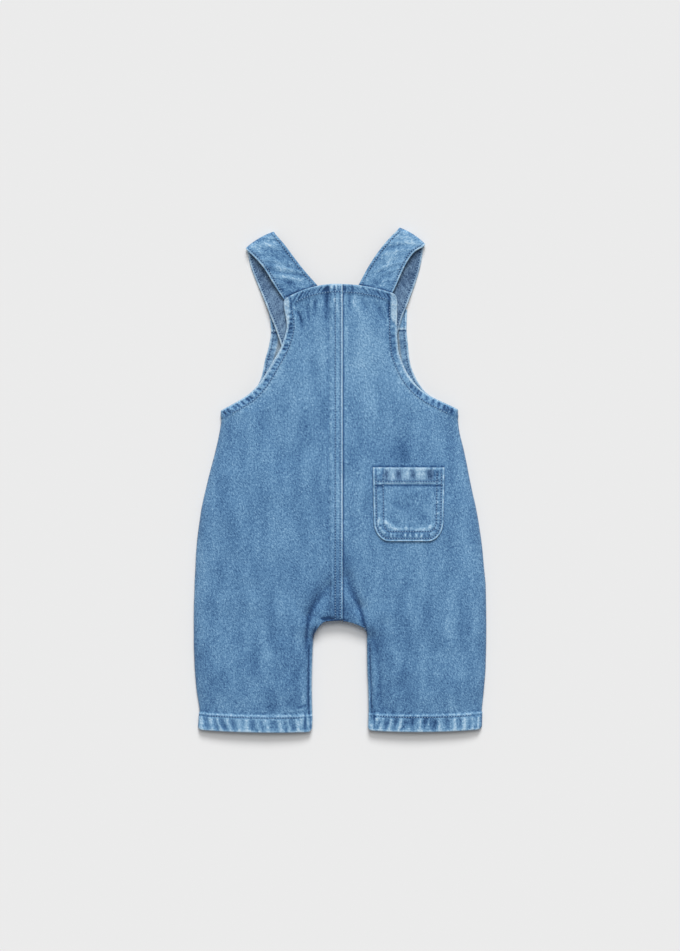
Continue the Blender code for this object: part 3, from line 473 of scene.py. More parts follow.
# How much paler or darker than the plain cloth each panel, its bib and its leg are
PANEL_TONE = {"left": -0.05, "right": -0.03}
BIB_TONE = {"left": 0.14, "right": 0.16}
LEG_TONE = {"left": -0.05, "right": -0.05}
UPPER_STRAP_TONE = {"left": 0.12, "right": 0.26}
# The lower runs of the straps are made darker with painted shade, as they lie in the shade of the upper
# runs.
LOWER_STRAP_SHADE = {"left": -0.38, "right": -0.54}

# The pale armhole edge below the bib's top corners: foot and top along Y, its depth and the
# share of its length over which it narrows
WORN_STRIP = {"left": (126.0, 168.0, 6.0, 0.95), "right": (140.0, 173.0, 6.6, 0.42)}

# The inseam's dark line: how far in it lies, its strength, and where the pale strip beside it
# ends along Y
INSEAM_ROLL = {"left": (3.2, 1.0, -166.0), "right": (2.6, 0.75, -186.0)}

# How much weaker the dark bars of the armhole's edge are up the bib
ARMHOLE_BAR_FADE = {"left": 0.3, "right": 1.2}

# Columns of points across a back panel: close together at both edges and over the crotch
EDGE_STEPS = tuple(np.concatenate([np.arange(0.0, 3.0, 0.45), np.arange(3.0, 13.6, 0.8)]))
INNER_STEPS = EDGE_STEPS + tuple(np.arange(14.5, 34.0, 1.1))
BACK_MIDDLE = tuple(np.linspace(0.0, 1.0, 36)[1:-1] ** 0.7)
FRONT_MIDDLE = tuple(np.linspace(0.0, 1.0, 34)[1:-1])
BACK_SPACING = 0.95
FRONT_BODY_SPACING = 3.0
FRONT_BIB_SPACING = 0.9
STRAP_SPACING = 0.9
STRAP_COLUMNS = 40
POCKET_SPACING = 0.5
POCKET_CORNER_ROWS = 30

# Stitches
STITCH_PITCH = 2.5
STITCH_LENGTH = 2.3
STITCH_RINGS = 7
STITCH_SIDES = 6
STITCH_WIDTH = 0.95
STITCH_HEIGHT = 0.24
STITCH_SINK = 0.25
STRAP_STITCH_SINK = 0.18
STITCH_ROW_STEP = 1.2
SEAM_STITCH_TOP = 181.0
FRONT_SEAM_FOOT = -131.0
FRONT_REST = 0.2
STRAP_REST = 0.15

# The first random seed of each side
SEED = {"left": 100, "right": 200}

# Soft lines beside an edge: how far in and how wide each is, its height and its paleness or darkness
# from wear and painted shading, and how steady or uneven it is along the edge, with the pitch, width,
# slant and seed of the uneven part
Line = namedtuple("Line", "at width raised wear steady uneven pitch ridge slant seed")

# On the leg hem the pale fold line above the stitches is partly wear and partly a painted highlight of
# the hem's edge, and the dark line past it is painted shade.
HEM_LINES = table(
    Line,
    (15.3, 0.85, 0.14, 1.05, 0.40, 0.60, 3.9, 1.3, 0.0, 3),
    (18.0, 1.30, 0.00, -0.34, 0.15, 1.00, 7.5, 2.6, 0.0, 4),
    (0.4, 1.00, 0.00, 0.85, 0.45, 0.55, 6.0, 2.2, 0.0, 6),
)
ARMHOLE_LINES = table(
    Line,
    (5.2, 0.80, 0.00, 0.30, 0.00, 1.00, 4.0, 1.1, 0.0, 1),
    (7.9, 0.70, 0.00, 0.34, 0.20, 1.00, 5.0, 1.5, 0.0, 2),
)
TOP_LINES = table(
    Line,
    (8.5, 0.80, 0.00, -0.24, 1.00, 0.00, 1.0, 1.0, 0.0, 0),
    (0.4, 0.80, 0.00, 0.62, 0.40, 0.60, 4.0, 1.4, 0.0, 4),
)
SEAM_LINES = table(
    Line,
    (0.45, 0.65, 0.00, 1.10, 0.50, 0.30, 5.0, 1.6, 0.0, 30),
    (0.45, 0.65, 0.00, 1.10, 0.00, 0.30, 2.5, 0.8, 0.0, 38),
    (4.3, 1.50, 0.15, 0.30, -0.40, 1.00, 3.9, 0.9, 0.3, 31),
    (11.3, 1.20, 0.22, 0.62, -0.15, 1.00, 7.0, 2.2, 0.0, 32),
    (8.6, 0.90, 0.00, -0.22, 0.00, 1.00, 9.0, 2.6, 0.0, 33),
    (13.6, 1.40, 0.00, -0.28, 0.00, 1.00, 8.0, 3.0, 0.0, 34),
)
# On the pocket's hem: a pale worn line, and a painted shadow below the hem's lower edge.
POCKET_HEM_LINES = table(
    Line,
    (14.5, 0.80, 0.12, 0.85, 0.65, 0.35, 4.6, 1.6, 0.0, 902),
    (16.5, 0.95, -0.20, -0.90, 1.00, 0.00, 1.0, 1.0, 0.0, 0),
)

# How dark wear and painted shade may go, where -1 is the darkest plain cloth
DARKEST = -1.6

# Colours of the denim from the least washed, and the deepest painted shade, to the most worn, of its
# pale inner face, and others
DENIM_COLOURS = (
    (0.00, (0.012, 0.052, 0.148)),
    (0.25, (0.043, 0.121, 0.266)),
    (0.50, (0.103, 0.236, 0.420)),
    (0.75, (0.216, 0.400, 0.602)),
    (1.00, (0.440, 0.620, 0.775)),
)
INSIDE_COLOURS = (
    (0.00, (0.060, 0.105, 0.160)),
    (0.50, (0.330, 0.425, 0.500)),
    (1.00, (0.620, 0.680, 0.700)),
)
THREAD_COLOURS = (
    (0.00, (0.018, 0.062, 0.180)),
    (0.45, (0.056, 0.138, 0.280)),
    (1.00, (0.330, 0.510, 0.690)),
)
BUTTON_COLOURS = ((0.3, (0.150, 0.125, 0.090)), (0.7, (0.430, 0.400, 0.350)))
FLOOR_COLOUR = (0.800, 0.800, 0.800)

# Floor, light and camera
FLOOR_SIZE = 12.0
CAMERA_LENS = 100.0
CAMERA_SENSOR = 36.0
FRAME_LENGTH = 951 * 0.94 * MM
CAMERA_AIM = (0.0, 0.0032, 0.005)
SUN_STRENGTH = 2.24
SUN_TILT = 49.0
SUN_TURN = -4.0
SUN_SOFTNESS = 24.0
FILL_STRENGTH = 0.99
FILL_SOFTNESS = 24.0
FILL_TILT = 22.0
SKY_STRENGTH = 0.28


# Curves and distances in plan


def slopes(knots, values):
    """Slopes that keep a curve through the rows from swinging past them."""
    step = np.diff(knots)[:, None]
    rise = np.diff(values, axis=0) / step
    before, after = rise[:-1], rise[1:]
    turning = before * after <= 0
    safe_before = np.where(turning, 1.0, before)
    safe_after = np.where(turning, 1.0, after)
    weight_before = 2 * step[1:] + step[:-1]
    weight_after = step[1:] + 2 * step[:-1]
    mean = (weight_before + weight_after) / (
        weight_before / safe_before + weight_after / safe_after
    )
    inside = np.where(turning, 0.0, mean)
    return np.vstack([rise[:1], inside, rise[-1:]])


def curve_at(knots, values, at):
    """The smooth curve through the rows, read at these distances along it."""
    slope = slopes(knots, values)
    i = np.clip(np.searchsorted(knots, at, side="right") - 1, 0, len(knots) - 2)
    step = (knots[i + 1] - knots[i])[:, None]
    t = (at - knots[i])[:, None] / step
    start = (2 * t**3 - 3 * t**2 + 1) * values[i] + (t**3 - 2 * t**2 + t) * step * slope[i]
    end = (3 * t**2 - 2 * t**3) * values[i + 1] + (t**3 - t**2) * step * slope[i + 1]
    return start + end


def rows_between(table, spacing):
    """Rows of the table with smooth ones between them."""
    values = np.array([row[1:] for row in table], float)
    inner = np.linalg.norm(np.diff(values[:, 0:2], axis=0), axis=1)
    outer = np.linalg.norm(np.diff(values[:, 2:4], axis=0), axis=1)
    knots = np.concatenate([[0.0], np.cumsum((inner + outer) / 2)])
    at = set(knots)
    for low, high in zip(knots[:-1], knots[1:]):
        count = max(1, round((high - low) / spacing))
        at.update(np.linspace(low, high, count + 1))
    return curve_at(knots, values, np.array(sorted(at)))


def smooth_step(x):
    x = np.clip(x, 0.0, 1.0)
    return x * x * (3 - 2 * x)


def bell(x, width):
    return np.exp(-((x / width) ** 2))


def unit(vectors):
    return vectors / np.maximum(np.linalg.norm(vectors, axis=-1, keepdims=True), 1e-12)


def run_along(points):
    """How far along a line each of its points is."""
    steps = np.linalg.norm(np.diff(points, axis=0), axis=1)
    return np.concatenate([[0.0], np.cumsum(steps)])


def locate(x, y, line):
    """How far points in plan are from a line, how far along it the nearest place is, and which
    way they lie from it."""
    distance = np.full(np.shape(x), np.inf)
    along = np.zeros(np.shape(x))
    offset = np.zeros(np.shape(x) + (2,))
    run = 0.0
    for (ax, ay), (bx, by) in zip(line[:-1], line[1:]):
        dx, dy = bx - ax, by - ay
        length = max(math.hypot(dx, dy), 1e-9)
        share = np.clip(((x - ax) * dx + (y - ay) * dy) / length**2, 0.0, 1.0)
        away = np.stack([x - ax - share * dx, y - ay - share * dy], axis=-1)
        size = np.hypot(away[..., 0], away[..., 1])
        nearer = size < distance
        distance = np.where(nearer, size, distance)
        along = np.where(nearer, run + share * length, along)
        offset = np.where(nearer[..., None], away, offset)
        run += length
    return distance, along, unit(offset)


def ridges(along, seed, pitch, width):
    """Small ridges a pitch apart, uneven in place, width and height, from 0 to 1."""
    rng = np.random.default_rng(seed)
    count = int(900 / pitch)
    places = np.cumsum(pitch * rng.uniform(0.6, 1.4, count)) - 60
    heights = rng.uniform(0.45, 1.0, count)
    widths = width * rng.uniform(0.7, 1.5, count)
    nearest = np.clip(np.searchsorted(places, along), 1, count - 1)
    total = np.zeros(np.shape(along))
    for k in (nearest - 1, nearest):
        total = np.maximum(total, heights[k] * bell(along - places[k], widths[k]))
    return total


def ridges_at(along, places, width, seed):
    """Small ridges at these places, uneven in width and height, from 0 to 1."""
    rng = np.random.default_rng(seed)
    total = np.zeros(np.shape(along))
    for place in places:
        near = bell(along - place, width * rng.uniform(0.7, 1.4))
        total = np.maximum(total, rng.uniform(0.7, 1.0) * near)
    return total


def blotches(x, y, size, seed):
    """Smooth uneven values from -1 to 1, with patches of about the given size."""
    rng = np.random.default_rng(seed)
    table = rng.uniform(-1.0, 1.0, (64, 64))
    u, v = x / size, y / size
    i, j = np.floor(u).astype(int), np.floor(v).astype(int)
    s, t = smooth_step(u - i), smooth_step(v - j)
    low = table[i % 64, j % 64] * (1 - s) + table[(i + 1) % 64, j % 64] * s
    high = table[i % 64, (j + 1) % 64] * (1 - s) + table[(i + 1) % 64, (j + 1) % 64] * s
    return low * (1 - t) + high * t


# Panels in plan and in height, as in their solids


def edge_slant(rows):
    tangent = unit(np.gradient(rows[:, 2:4], axis=0))
    across = unit(rows[:, 2:4] - rows[:, 0:2])
    sine = np.abs(tangent[:, 0] * across[:, 1] - tangent[:, 1] * across[:, 0])
    return 1 / np.clip(sine, 0.45, 1.0)


def distances_in(rows, from_inner, middle, from_outer, bib_start):
    """How far each row's points are from its inner edge: fixed distances at both edges, and
    shares of what is left between them."""
    width = np.linalg.norm(rows[:, 2:4] - rows[:, 0:2], axis=1)[:, None]
    slant = np.where(np.arange(len(rows)) >= bib_start, edge_slant(rows), 1.0)[:, None]
    inner = np.broadcast_to(np.array(from_inner), (len(rows), len(from_inner)))
    outer = width - np.array(from_outer) * slant
    low, high = inner[:, -1:], outer[:, :1]
    between = low + (high - low) * np.array(middle)
    return np.hstack([inner, between, outer]), width


def plan_of(rows, distance, width, sign):
    share = distance / width
    out = rows[:, 0:1] + (rows[:, 2:3] - rows[:, 0:1]) * share
    y = rows[:, 1:2] + (rows[:, 3:4] - rows[:, 1:2]) * share
    return sign * out, y - rows[:, 4:5] * 4 * share * (1 - share)


def round_corner(x, y, from_side, from_end, radius, side_way, end_way):
    """The same points with those near one corner pulled in to a round one. side_way and end_way
    are steps from the two edges into the panel."""
    u = np.clip(radius - from_side, 0.0, radius)
    v = np.clip(radius - from_end, 0.0, radius)
    pull = 1 - np.maximum(u, v) / np.maximum(np.hypot(u, v), 1e-9)
    return x + side_way * u * pull, y + end_way * v * pull


def panel_plan(rows, distance, width, side, top_corner):
    """A panel's points in plan, with its hem's corners and its top outer corner rounded."""
    sign = SIDE_SIGN[side]
    x, y = plan_of(rows, distance, width, sign)
    from_hem, from_top = y - y[:1], y[-1:] - y
    x, y = round_corner(x, y, width - distance, from_hem, HEM_CORNER, -sign, 1.0)
    x, y = round_corner(x, y, distance, from_hem, HEM_CORNER, sign, 1.0)
    return round_corner(x, y, width - distance, from_top, top_corner, -sign, -1.0)


def edge_directions(x, y, column, neighbour):
    """Level unit vectors square to a panel's edge and pointing into it, one for each row."""
    along = np.gradient(np.stack([x[:, column], y[:, column]], axis=1), axis=0)
    square = np.stack([-along[:, 1], along[:, 0]], axis=1)
    inwards = np.stack([x[:, neighbour] - x[:, column], y[:, neighbour] - y[:, column]], axis=1)
    return unit(square) * np.sign((square * inwards).sum(1))[:, None]


def crotch_height(side):
    return [row.in_y for row in BACK_BODY[side] if row.name == "crotch_seam"][0]


def inseam_line():
    """Up the inside of the left leg, through the crotch and down the inside of the right leg."""
    line = []
    for side, step in (("left", 1), ("right", -1)):
        rows = rows_between(BACK_BODY[side], 3.0)
        rows = rows[rows[:, 1] < crotch_height(side) + 0.01]
        line += [(SIDE_SIGN[side] * row[0], row[1]) for row in rows[::step]]
    return line


def rolled_surface(rows, distance, width, x, y, inseam_height, reach_out, reach_in):
    """Heights of the outer face, level at the crown and rolling like a quarter of an ellipse to
    the side seam and the inseam, and unit vectors up out of it. The cloth bunches up a little at
    the crotch."""
    crown, side_height = rows[:, 5:6], rows[:, 6:7]
    inseam_height = inseam_height + CROTCH_LIFT * smooth_step((y + 151.0) / 14.0)
    from_inseam, _, into_inner = locate(x, y, inseam_line())
    on_inseam = from_inseam[:, 0] < 0.1
    from_inseam[:, 0] = np.where(on_inseam, 0.0, from_inseam[:, 0])
    left_out = 1 - np.clip((width - distance) / reach_out, 0.0, 1.0)
    left_in = 1 - np.clip(from_inseam / reach_in, 0.0, 1.0)
    rise_out, rise_in = np.sqrt(1 - left_out**2), np.sqrt(1 - left_in**2)
    drop_out, drop_in = crown - side_height, crown - inseam_height
    z = crown - drop_out * (1 - rise_out) - drop_in * (1 - rise_in)
    square = edge_directions(x, y, 0, 1)
    into_inner[:, 0] = np.where(on_inseam[:, None], square, into_inner[:, 0])
    into_outer = edge_directions(x, y, -1, -2)[:, None, :]
    lean_out = (drop_out / reach_out * left_out * rise_in)[..., None] * into_outer
    lean_in = (drop_in / reach_in * left_in * rise_out)[..., None] * into_inner
    up = np.concatenate([-lean_out - lean_in, (rise_out * rise_in)[..., None]], axis=2)
    steep_out = np.clip((np.abs(drop_out) - 1.0) / 2.0, 0.0, 1.0) * (left_out > 0)
    flat_edge = ((1 - steep_out) * (left_out > 0) * (left_in <= 0))[..., None]
    up = unit(unit(up) * (1 - flat_edge) + np.array([0.0, 0.0, 1.0]) * flat_edge)
    return z, up, from_inseam


def fold_height(x, y):
    height = np.zeros(np.shape(x))
    for fold in FOLDS:
        away = locate(x, y, ((fold.x1, fold.y1), (fold.x2, fold.y2)))[0]
        height += fold.height * bell(away, fold.width)
    return height


def bowed_edge(row, side, count):
    """Points along a row's bow, from the middle of the garment out."""
    share = np.linspace(0.0, 1.0, count)
    out = row.in_x + (row.out_x - row.in_x) * share
    y = row.in_y + (row.out_y - row.in_y) * share - row.dip * 4 * share * (1 - share)
    return list(zip(SIDE_SIGN[side] * out, y))


def top_edge(side):
    """The bowed top edge of the back bib."""
    return bowed_edge(BACK_BIB[side][-1], side, 9)


def hem_edge(side):
    """The bowed leg hem."""
    return bowed_edge(BACK_BODY[side][0], side, 13)


def out_edge(table, side, spacing=2.0):
    """Points along the outer ends of a table's rows."""
    rows = rows_between(table, spacing)
    return [(SIDE_SIGN[side] * row[2], row[3]) for row in rows]


# Small relief, wear and painted shading, in one record: raised is a height, the wear and painted shading
# run from dark -1 to pale 1 and hold both the cloth's wear and painted shade and highlights, and inside
# says how much of the cloth's pale inner face shows.


class Relief:
    def __init__(self, shape):
        self.raised = np.zeros(shape)
        self.wear = np.zeros(shape)
        self.inside = np.zeros(shape)

    def add(self, where, raised=0.0, wear=0.0):
        self.raised += raised * where
        self.wear += wear * where

    def line(self, distance, at, width, wear, raised=0.0, where=1.0):
        """A soft line at a distance from an edge."""
        self.add(bell(distance - at, width) * where, raised=raised, wear=wear)

    def lines(self, distance, along, rows, seed, where=1.0):
        """The table's soft lines, steady or broken up along the edge."""
        for row in rows:
            strength = row.steady
            if row.uneven:
                slanted = along + row.slant * distance
                lumps = ridges(slanted, seed + row.seed, row.pitch, row.ridge)
                strength = strength + row.uneven * lumps
            self.line(distance, row.at, row.width, row.wear, row.raised, strength * where)

    def turned_edge(self, distance, depth, height):
        """A plateau as deep as the turning, with a soft step down."""
        self.raised = np.maximum(self.raised, height * smooth_step((depth + 1.1 - distance) / 1.2))

    def stitched(self, distance, at, strength=1.0):
        """The groove that a row of stitches draws into the cloth, darkened partly as unfaded indigo and
        partly as painted shade.
        """
        self.add(bell(distance - at, 0.9), raised=-0.30 * strength, wear=-0.26 * strength)

    def puckers(self, distance, height, start, depth, strength=1.0):
        """Ridges across a turned edge, pale on top and dark between."""
        across = smooth_step((distance - start) / 1.4) * smooth_step((depth - distance) / 1.8)
        self.add(across * (height - 0.32), raised=0.75 * strength, wear=1.10 * strength)

    def bars(self, distance, height, start, depth, strength=1.0):
        """Short dark hollows across a turned edge."""
        across = smooth_step((distance - start) / 0.9) * smooth_step((depth - distance) / 1.3)
        self.add(across * height, raised=-0.45 * strength, wear=-0.80 * strength)

    def flicks(self, distance, along, start, reach, pitch, slant, seed, strength=1.0):
        """Short pale ticks that run on into the cloth past a stitched turning."""
        past = distance - start
        height = ridges(along + slant * past, seed, pitch, 0.8)
        where = height * smooth_step(past / 0.8) * bell(np.maximum(past, 0), reach)
        self.add(where, raised=0.22 * strength, wear=0.42 * strength)

    def spots(self, x, y, spots, lift=0.25):
        for spot in spots:
            turn = math.radians(spot.angle)
            along = (x - spot.x) * math.cos(turn) + (y - spot.y) * math.sin(turn)
            across = (y - spot.y) * math.cos(turn) - (x - spot.x) * math.sin(turn)
            near = bell(along, spot.long) * bell(across, spot.wide)
            self.add(near, raised=lift * spot.wear, wear=spot.wear)

    def creases(self, x, y, creases):
        """Troughs whose bottoms are darkened with painted shade, the deepest one winning where two meet.
        """
        depth = np.zeros(np.shape(x))
        shade = np.zeros(np.shape(x))
        for crease in creases.values():
            bends = np.array(crease, float)
            away, along, _ = locate(x, y, bends[:, 0:2])
            run = run_along(bends[:, 0:2])
            width, deep, dark = (np.interp(along, run, bends[:, k]) for k in (2, 3, 4))
            depth = np.maximum(depth, deep * bell(away, 1.3 * width))
            core = 0.78 * bell(away, 0.85 * width) + 0.22 * bell(away, 2.4 * width)
            shade = np.maximum(shade, dark * core)
        self.add(depth, raised=-1.0)
        self.add(shade, wear=-1.0)


def leg_hem(relief, side, x, y):
    """The turned leg hem, with puckers across it and a pale fold line above its stitches."""
    seed = SEED[side] + 1
    hem, along, _ = locate(x, y, hem_edge(side))
    relief.turned_edge(hem, HEM_DEPTH, HEM_RAISE)
    inside_band = smooth_step((13.6 - hem) / 1.5)
    relief.add(inside_band, wear=0.30)
    sway = 1.6 * blotches(x, hem, 11.0, seed + 7)
    lean = 0.24 if side == "left" else -0.22 * smooth_step((80.0 - x) / 20.0)
    slanted = x + lean * hem + sway
    relief.puckers(hem, ridges_at(slanted, HEM_RIDGES[side], 1.9, seed), -0.8, 13.2, 0.95)
    relief.puckers(hem, ridges(slanted, seed + 1, 4.3, 0.9), 2.5, 12.0, 0.36)
    relief.bars(hem, ridges(slanted + 4.0, seed + 2, 8.7, 1.2), 1.5, 11.0, 0.42)
    relief.wear += 0.20 * inside_band * blotches(x, hem, 4.5, seed + 8)
    relief.stitched(hem, HEM_ROW, 1.2)
    relief.lines(hem, along, HEM_LINES, seed)
    relief.flicks(hem, along, 15.8, 3.6, 5.2, 0.8 * SIDE_SIGN[side], seed + 5, 1.1)


def armhole_band(relief, side, x, y):
    """The armhole's narrow turned edge, with dark bars across it and a pale rim."""
    sign = SIDE_SIGN[side]
    seed = SEED[side] + 11
    arm, along, _ = locate(x, y, out_edge(BACK_BIB[side], side))
    relief.turned_edge(arm, ARMHOLE_BAND, BAND_RAISE)
    high = smooth_step((y - 82.0) / 14.0)
    relief.add(smooth_step((5.6 - arm) / 1.0), wear=0.26)
    dark = ridges(along + 0.25 * sign * arm, seed, 4.6, 1.15)
    relief.bars(arm, dark, 0.6 + 0.8 * high, 6.0, 2.1 - ARMHOLE_BAR_FADE[side] * high)
    relief.stitched(arm, ARMHOLE_ROW, 1.1)
    relief.lines(arm, along, ARMHOLE_LINES, seed)
    relief.flicks(arm, along, 7.6, 3.0, 4.4, 0.6 * sign, seed + 3, 1.1)
    worn = bell(y - 106.0, 24.0)
    relief.line(arm, -0.1, 1.0 + 0.9 * worn, 0.46)
    relief.inside = np.maximum(relief.inside, 0.32 * bell(arm + 0.1, 1.6) * worn)
    return arm


def top_band(relief, side, x, y):
    """The bib's turned top edge, with slanting bars and small folds below its stitches."""
    sign = SIDE_SIGN[side]
    seed = SEED[side] + 21
    top, along, _ = locate(x, y, top_edge(side))
    relief.turned_edge(top, TOP_BAND, BAND_RAISE)
    relief.add(smooth_step((6.8 - top) / 1.2), wear=0.06)
    upright = smooth_step((16.0 - np.abs(x)) / 6.0)
    slanted = x - 0.9 * sign * top * (1 - upright)
    relief.bars(top, ridges(slanted, seed, 4.0, 0.85), 0.6, 6.6, 2.00)
    relief.puckers(top, ridges(slanted + 2.2, seed + 1, 5.3, 1.1), 0.6, 6.4, 0.75)
    relief.stitched(top, TOP_ROW, 1.4)
    past = smooth_step((top - 8.0) / 1.0) * bell(np.maximum(top - 8.0, 0), 15.0)
    folds = ridges(x + 0.18 * top * sign, seed + 3, 6.4, 1.3) - 0.30
    relief.add(folds * past, raised=0.35, wear=0.34)
    relief.lines(top, along, TOP_LINES, seed)


def middle_seam(relief, side, x, y):
    """The left panel's lap lies over the right one's edge, and makes a ridge, with a painted shadow
    beside it on the right panel.
    """
    out = SIDE_SIGN[side] * x
    if side == "right":
        beside = out - UNDER_EDGE
        # Painted shadow of the lapped edge on the right panel.
        relief.line(beside, 0.0, 1.1, -0.85, raised=-0.35)
        relief.line(beside, 3.4, 1.4, 0.30, where=ridges(y, 36, 6.0, 2.0))
        return
    above_crotch = smooth_step((y - crotch_height(side)) / 6.0)
    from_fold = out - LAP_EDGE
    ridge = smooth_step((SEAM_WIDTH + 1.2 - from_fold) / 1.6) * above_crotch
    relief.raised = np.maximum(relief.raised, SEAM_RAISE * ridge)
    relief.add(smooth_step((0.9 - from_fold) / 0.9) * above_crotch, raised=-0.35)
    low = smooth_step((-60.0 - y) / 50.0) * above_crotch
    within = smooth_step((10.0 - from_fold) / 2.0) * smooth_step(from_fold - 1.6)
    relief.add(within * low, wear=-0.26)
    relief.add(smooth_step((12.0 - from_fold) / 3.0) * above_crotch, wear=0.24)
    for row in SEAM_ROWS:
        relief.stitched(from_fold, row, 1.3)
    relief.lines(from_fold, y, SEAM_LINES, 0, above_crotch)


def inseam_roll(relief, side, y, from_inseam):
    """The inseam, rolled a little on to the top of the leg: a dark seam with a pale strip."""
    rolled, strength, pale_top = INSEAM_ROLL[side]
    on_leg = smooth_step((-150.0 - y) / 10.0)
    above_hem = smooth_step((y + 232.0) / 14.0)
    pale = smooth_step((pale_top - y) / 16.0)
    low = smooth_step((-146.0 - y) / 6.0)
    relief.line(from_inseam, rolled, 0.75, -1.05 * strength, -0.5, on_leg * above_hem)
    relief.line(from_inseam, rolled - 2.3, 1.1, 0.42 * strength, where=pale)
    relief.line(from_inseam, 0.0, 0.7, 0.50 * strength, where=low)
    relief.line(from_inseam, rolled + 2.0, 1.0, -0.12, where=on_leg)


def worn_strip(relief, side, x, y, arm):
    """Near the bib's top corners the armhole's turned edge is worn pale, with a painted shadow beside it
    on the inner side.
    """
    foot, top, depth, taper = WORN_STRIP[side]
    up = smooth_step((y - foot) / (taper * (top - foot)))
    reach = depth * up
    strip = smooth_step((reach - arm) / 1.6) * (y > foot)
    mottled = 0.46 + 0.14 * blotches(x, y, 4.0, 141)
    relief.wear = relief.wear * (1 - 0.80 * strip) + mottled * strip
    relief.raised += 0.35 * strip
    relief.inside = np.maximum(relief.inside, 0.22 * strip)
    # Painted shadow along the strip's inner side.
    relief.line(arm, reach + 1.0, 0.9, -0.50, raised=-0.3, where=(1 - strip) * up)


def back_relief(side, x, y, from_inseam):
    relief = Relief(np.shape(x))
    seed = SEED[side] + 31
    leg = smooth_step((-112.0 - y) / 40.0)
    bib = smooth_step((y - 40.0) / 60.0)
    leg_hem(relief, side, x, y)
    arm = armhole_band(relief, side, x, y)
    top_band(relief, side, x, y)
    middle_seam(relief, side, x, y)
    inseam_roll(relief, side, y, from_inseam)
    relief.creases(x, y, CREASES)
    relief.spots(x, y, BACK_SPOTS[side])
    worn_strip(relief, side, x, y, arm)

    # Soft unevenness of the whole panel
    relief.raised += 0.35 * blotches(x, y, 34.0, seed) + 0.16 * blotches(x, y, 13.0, seed + 1)
    relief.wear += (0.09 + 0.06 * leg) * blotches(x, 0.34 * y, 8.0, seed + 2)
    relief.wear += (0.06 + 0.06 * leg) * blotches(x, 0.6 * y, 5.0, seed + 3)
    relief.wear += PANEL_TONE[side] + BIB_TONE[side] * bib + LEG_TONE[side] * leg
    return relief


def pocket_half_width(down):
    """Half the pocket's width at a distance below its top, rounded into its bottom corners."""
    straight = POCKET_HALF_WIDTH - POCKET_TAPER * down / POCKET_HEIGHT
    above_corner = POCKET_HEIGHT - POCKET_CORNER_UP
    into_corner = np.clip((down - above_corner) / POCKET_CORNER_UP, 0.0, 1.0)
    return straight - POCKET_CORNER_ACROSS * (1 - np.sqrt(1 - into_corner**2))


def pocket_outline():
    """Points down one side of the pocket, along its bottom and up the other side."""
    down = POCKET_HEIGHT * np.sin(np.linspace(0.0, np.pi / 2, 24))
    side = [(POCKET_MIDDLE + pocket_half_width(d), POCKET_TOP - d) for d in down]
    return side + [(2 * POCKET_MIDDLE - x, y) for x, y in reversed(side)]


def pocket_distance(x, y):
    """How far points lie outside the pocket's outline, less than nothing inside it."""
    line = pocket_outline()
    away = locate(x, y, line + line[:1])[0]
    down = POCKET_TOP - y
    half = pocket_half_width(np.clip(down, 0.0, POCKET_HEIGHT))
    within = (down > 0) & (down < POCKET_HEIGHT) & (np.abs(x - POCKET_MIDDLE) < half)
    return np.where(within, -away, away)


def offset_line(line, distance):
    """The line moved sideways, to its left where distance is more than nothing."""
    line = np.array(line, float)
    along = unit(np.gradient(line, axis=0))
    square = np.stack([-along[:, 1], along[:, 0]], axis=1)
    return line + square * distance


def pocket_rows():
    """The two rows of stitches round the pocket: one near its edge and one further in, which
    runs closer to the edge on the right."""
    near = offset_line(pocket_outline(), -POCKET_ROW_NEAR)
    far = offset_line(pocket_outline(), -POCKET_ROW_FAR)
    far[:, 0] += POCKET_ROW_SHIFT * smooth_step((far[:, 0] - POCKET_MIDDLE) / 22.0)
    return near, far


# Meshes


def rim_loop(rows, columns):
    """Indices round the edge of a grid of points."""
    bottom = list(range(columns))
    right = [i * columns + columns - 1 for i in range(1, rows)]
    top = [rows * columns - 1 - j for j in range(1, columns)]
    left = [i * columns for i in range(rows - 2, 0, -1)]
    return bottom + right + top + left


def shell(name, outer, inner, looks, finish, node):
    """A closed piece of cloth between two grids of points, with a rounded rim. looks gives the
    attributes of the outer and the inner face."""
    rows, columns = outer.shape[:2]
    size = rows * columns
    upper, lower = outer.reshape(-1, 3), inner.reshape(-1, 3)
    rim = np.array(rim_loop(rows, columns))
    inside_row = np.clip(rim // columns, 1, rows - 2)
    inside_column = np.clip(rim % columns, 1, columns - 2)
    middle = (upper[rim] + lower[rim]) / 2
    neighbour = inside_row * columns + inside_column
    away = unit(middle - (upper[neighbour] + lower[neighbour]) / 2)
    middle = middle + RIM_BULGE * away
    points = np.concatenate([upper, lower, middle]) * MM

    i, j = np.meshgrid(np.arange(rows - 1), np.arange(columns - 1), indexing="ij")
    a = (i * columns + j).ravel()
    quads = np.stack([a, a + 1, a + 1 + columns, a + columns], axis=1)
    following = np.roll(rim, -1)
    place = 2 * size + np.arange(len(rim))
    next_place = np.roll(place, -1)
    over_rim = np.stack([following, rim, place, next_place], axis=1)
    under_rim = np.stack([next_place, place, size + rim, size + following], axis=1)
    faces = np.concatenate([quads, size + quads[:, ::-1], over_rim, under_rim])
    mesh = bpy.data.meshes.new(name)
    mesh.from_pydata(points.tolist(), [], faces.tolist())
    if faces_inwards(mesh, outer, inner):
        mesh.flip_normals()
    for key, (over, under) in looks.items():
        over, under = over.reshape(size, -1), under.reshape(size, -1)
        values = np.concatenate([over, under, (over[rim] + under[rim]) / 2])
        kind = "FLOAT_VECTOR" if values.shape[1] == 3 else "FLOAT"
        field = mesh.attributes.new(key, kind, "POINT")
        field.data.foreach_set("vector" if kind == "FLOAT_VECTOR" else "value", values.ravel())
    mesh.shade_smooth()
    return keep(name, mesh, finish, node)


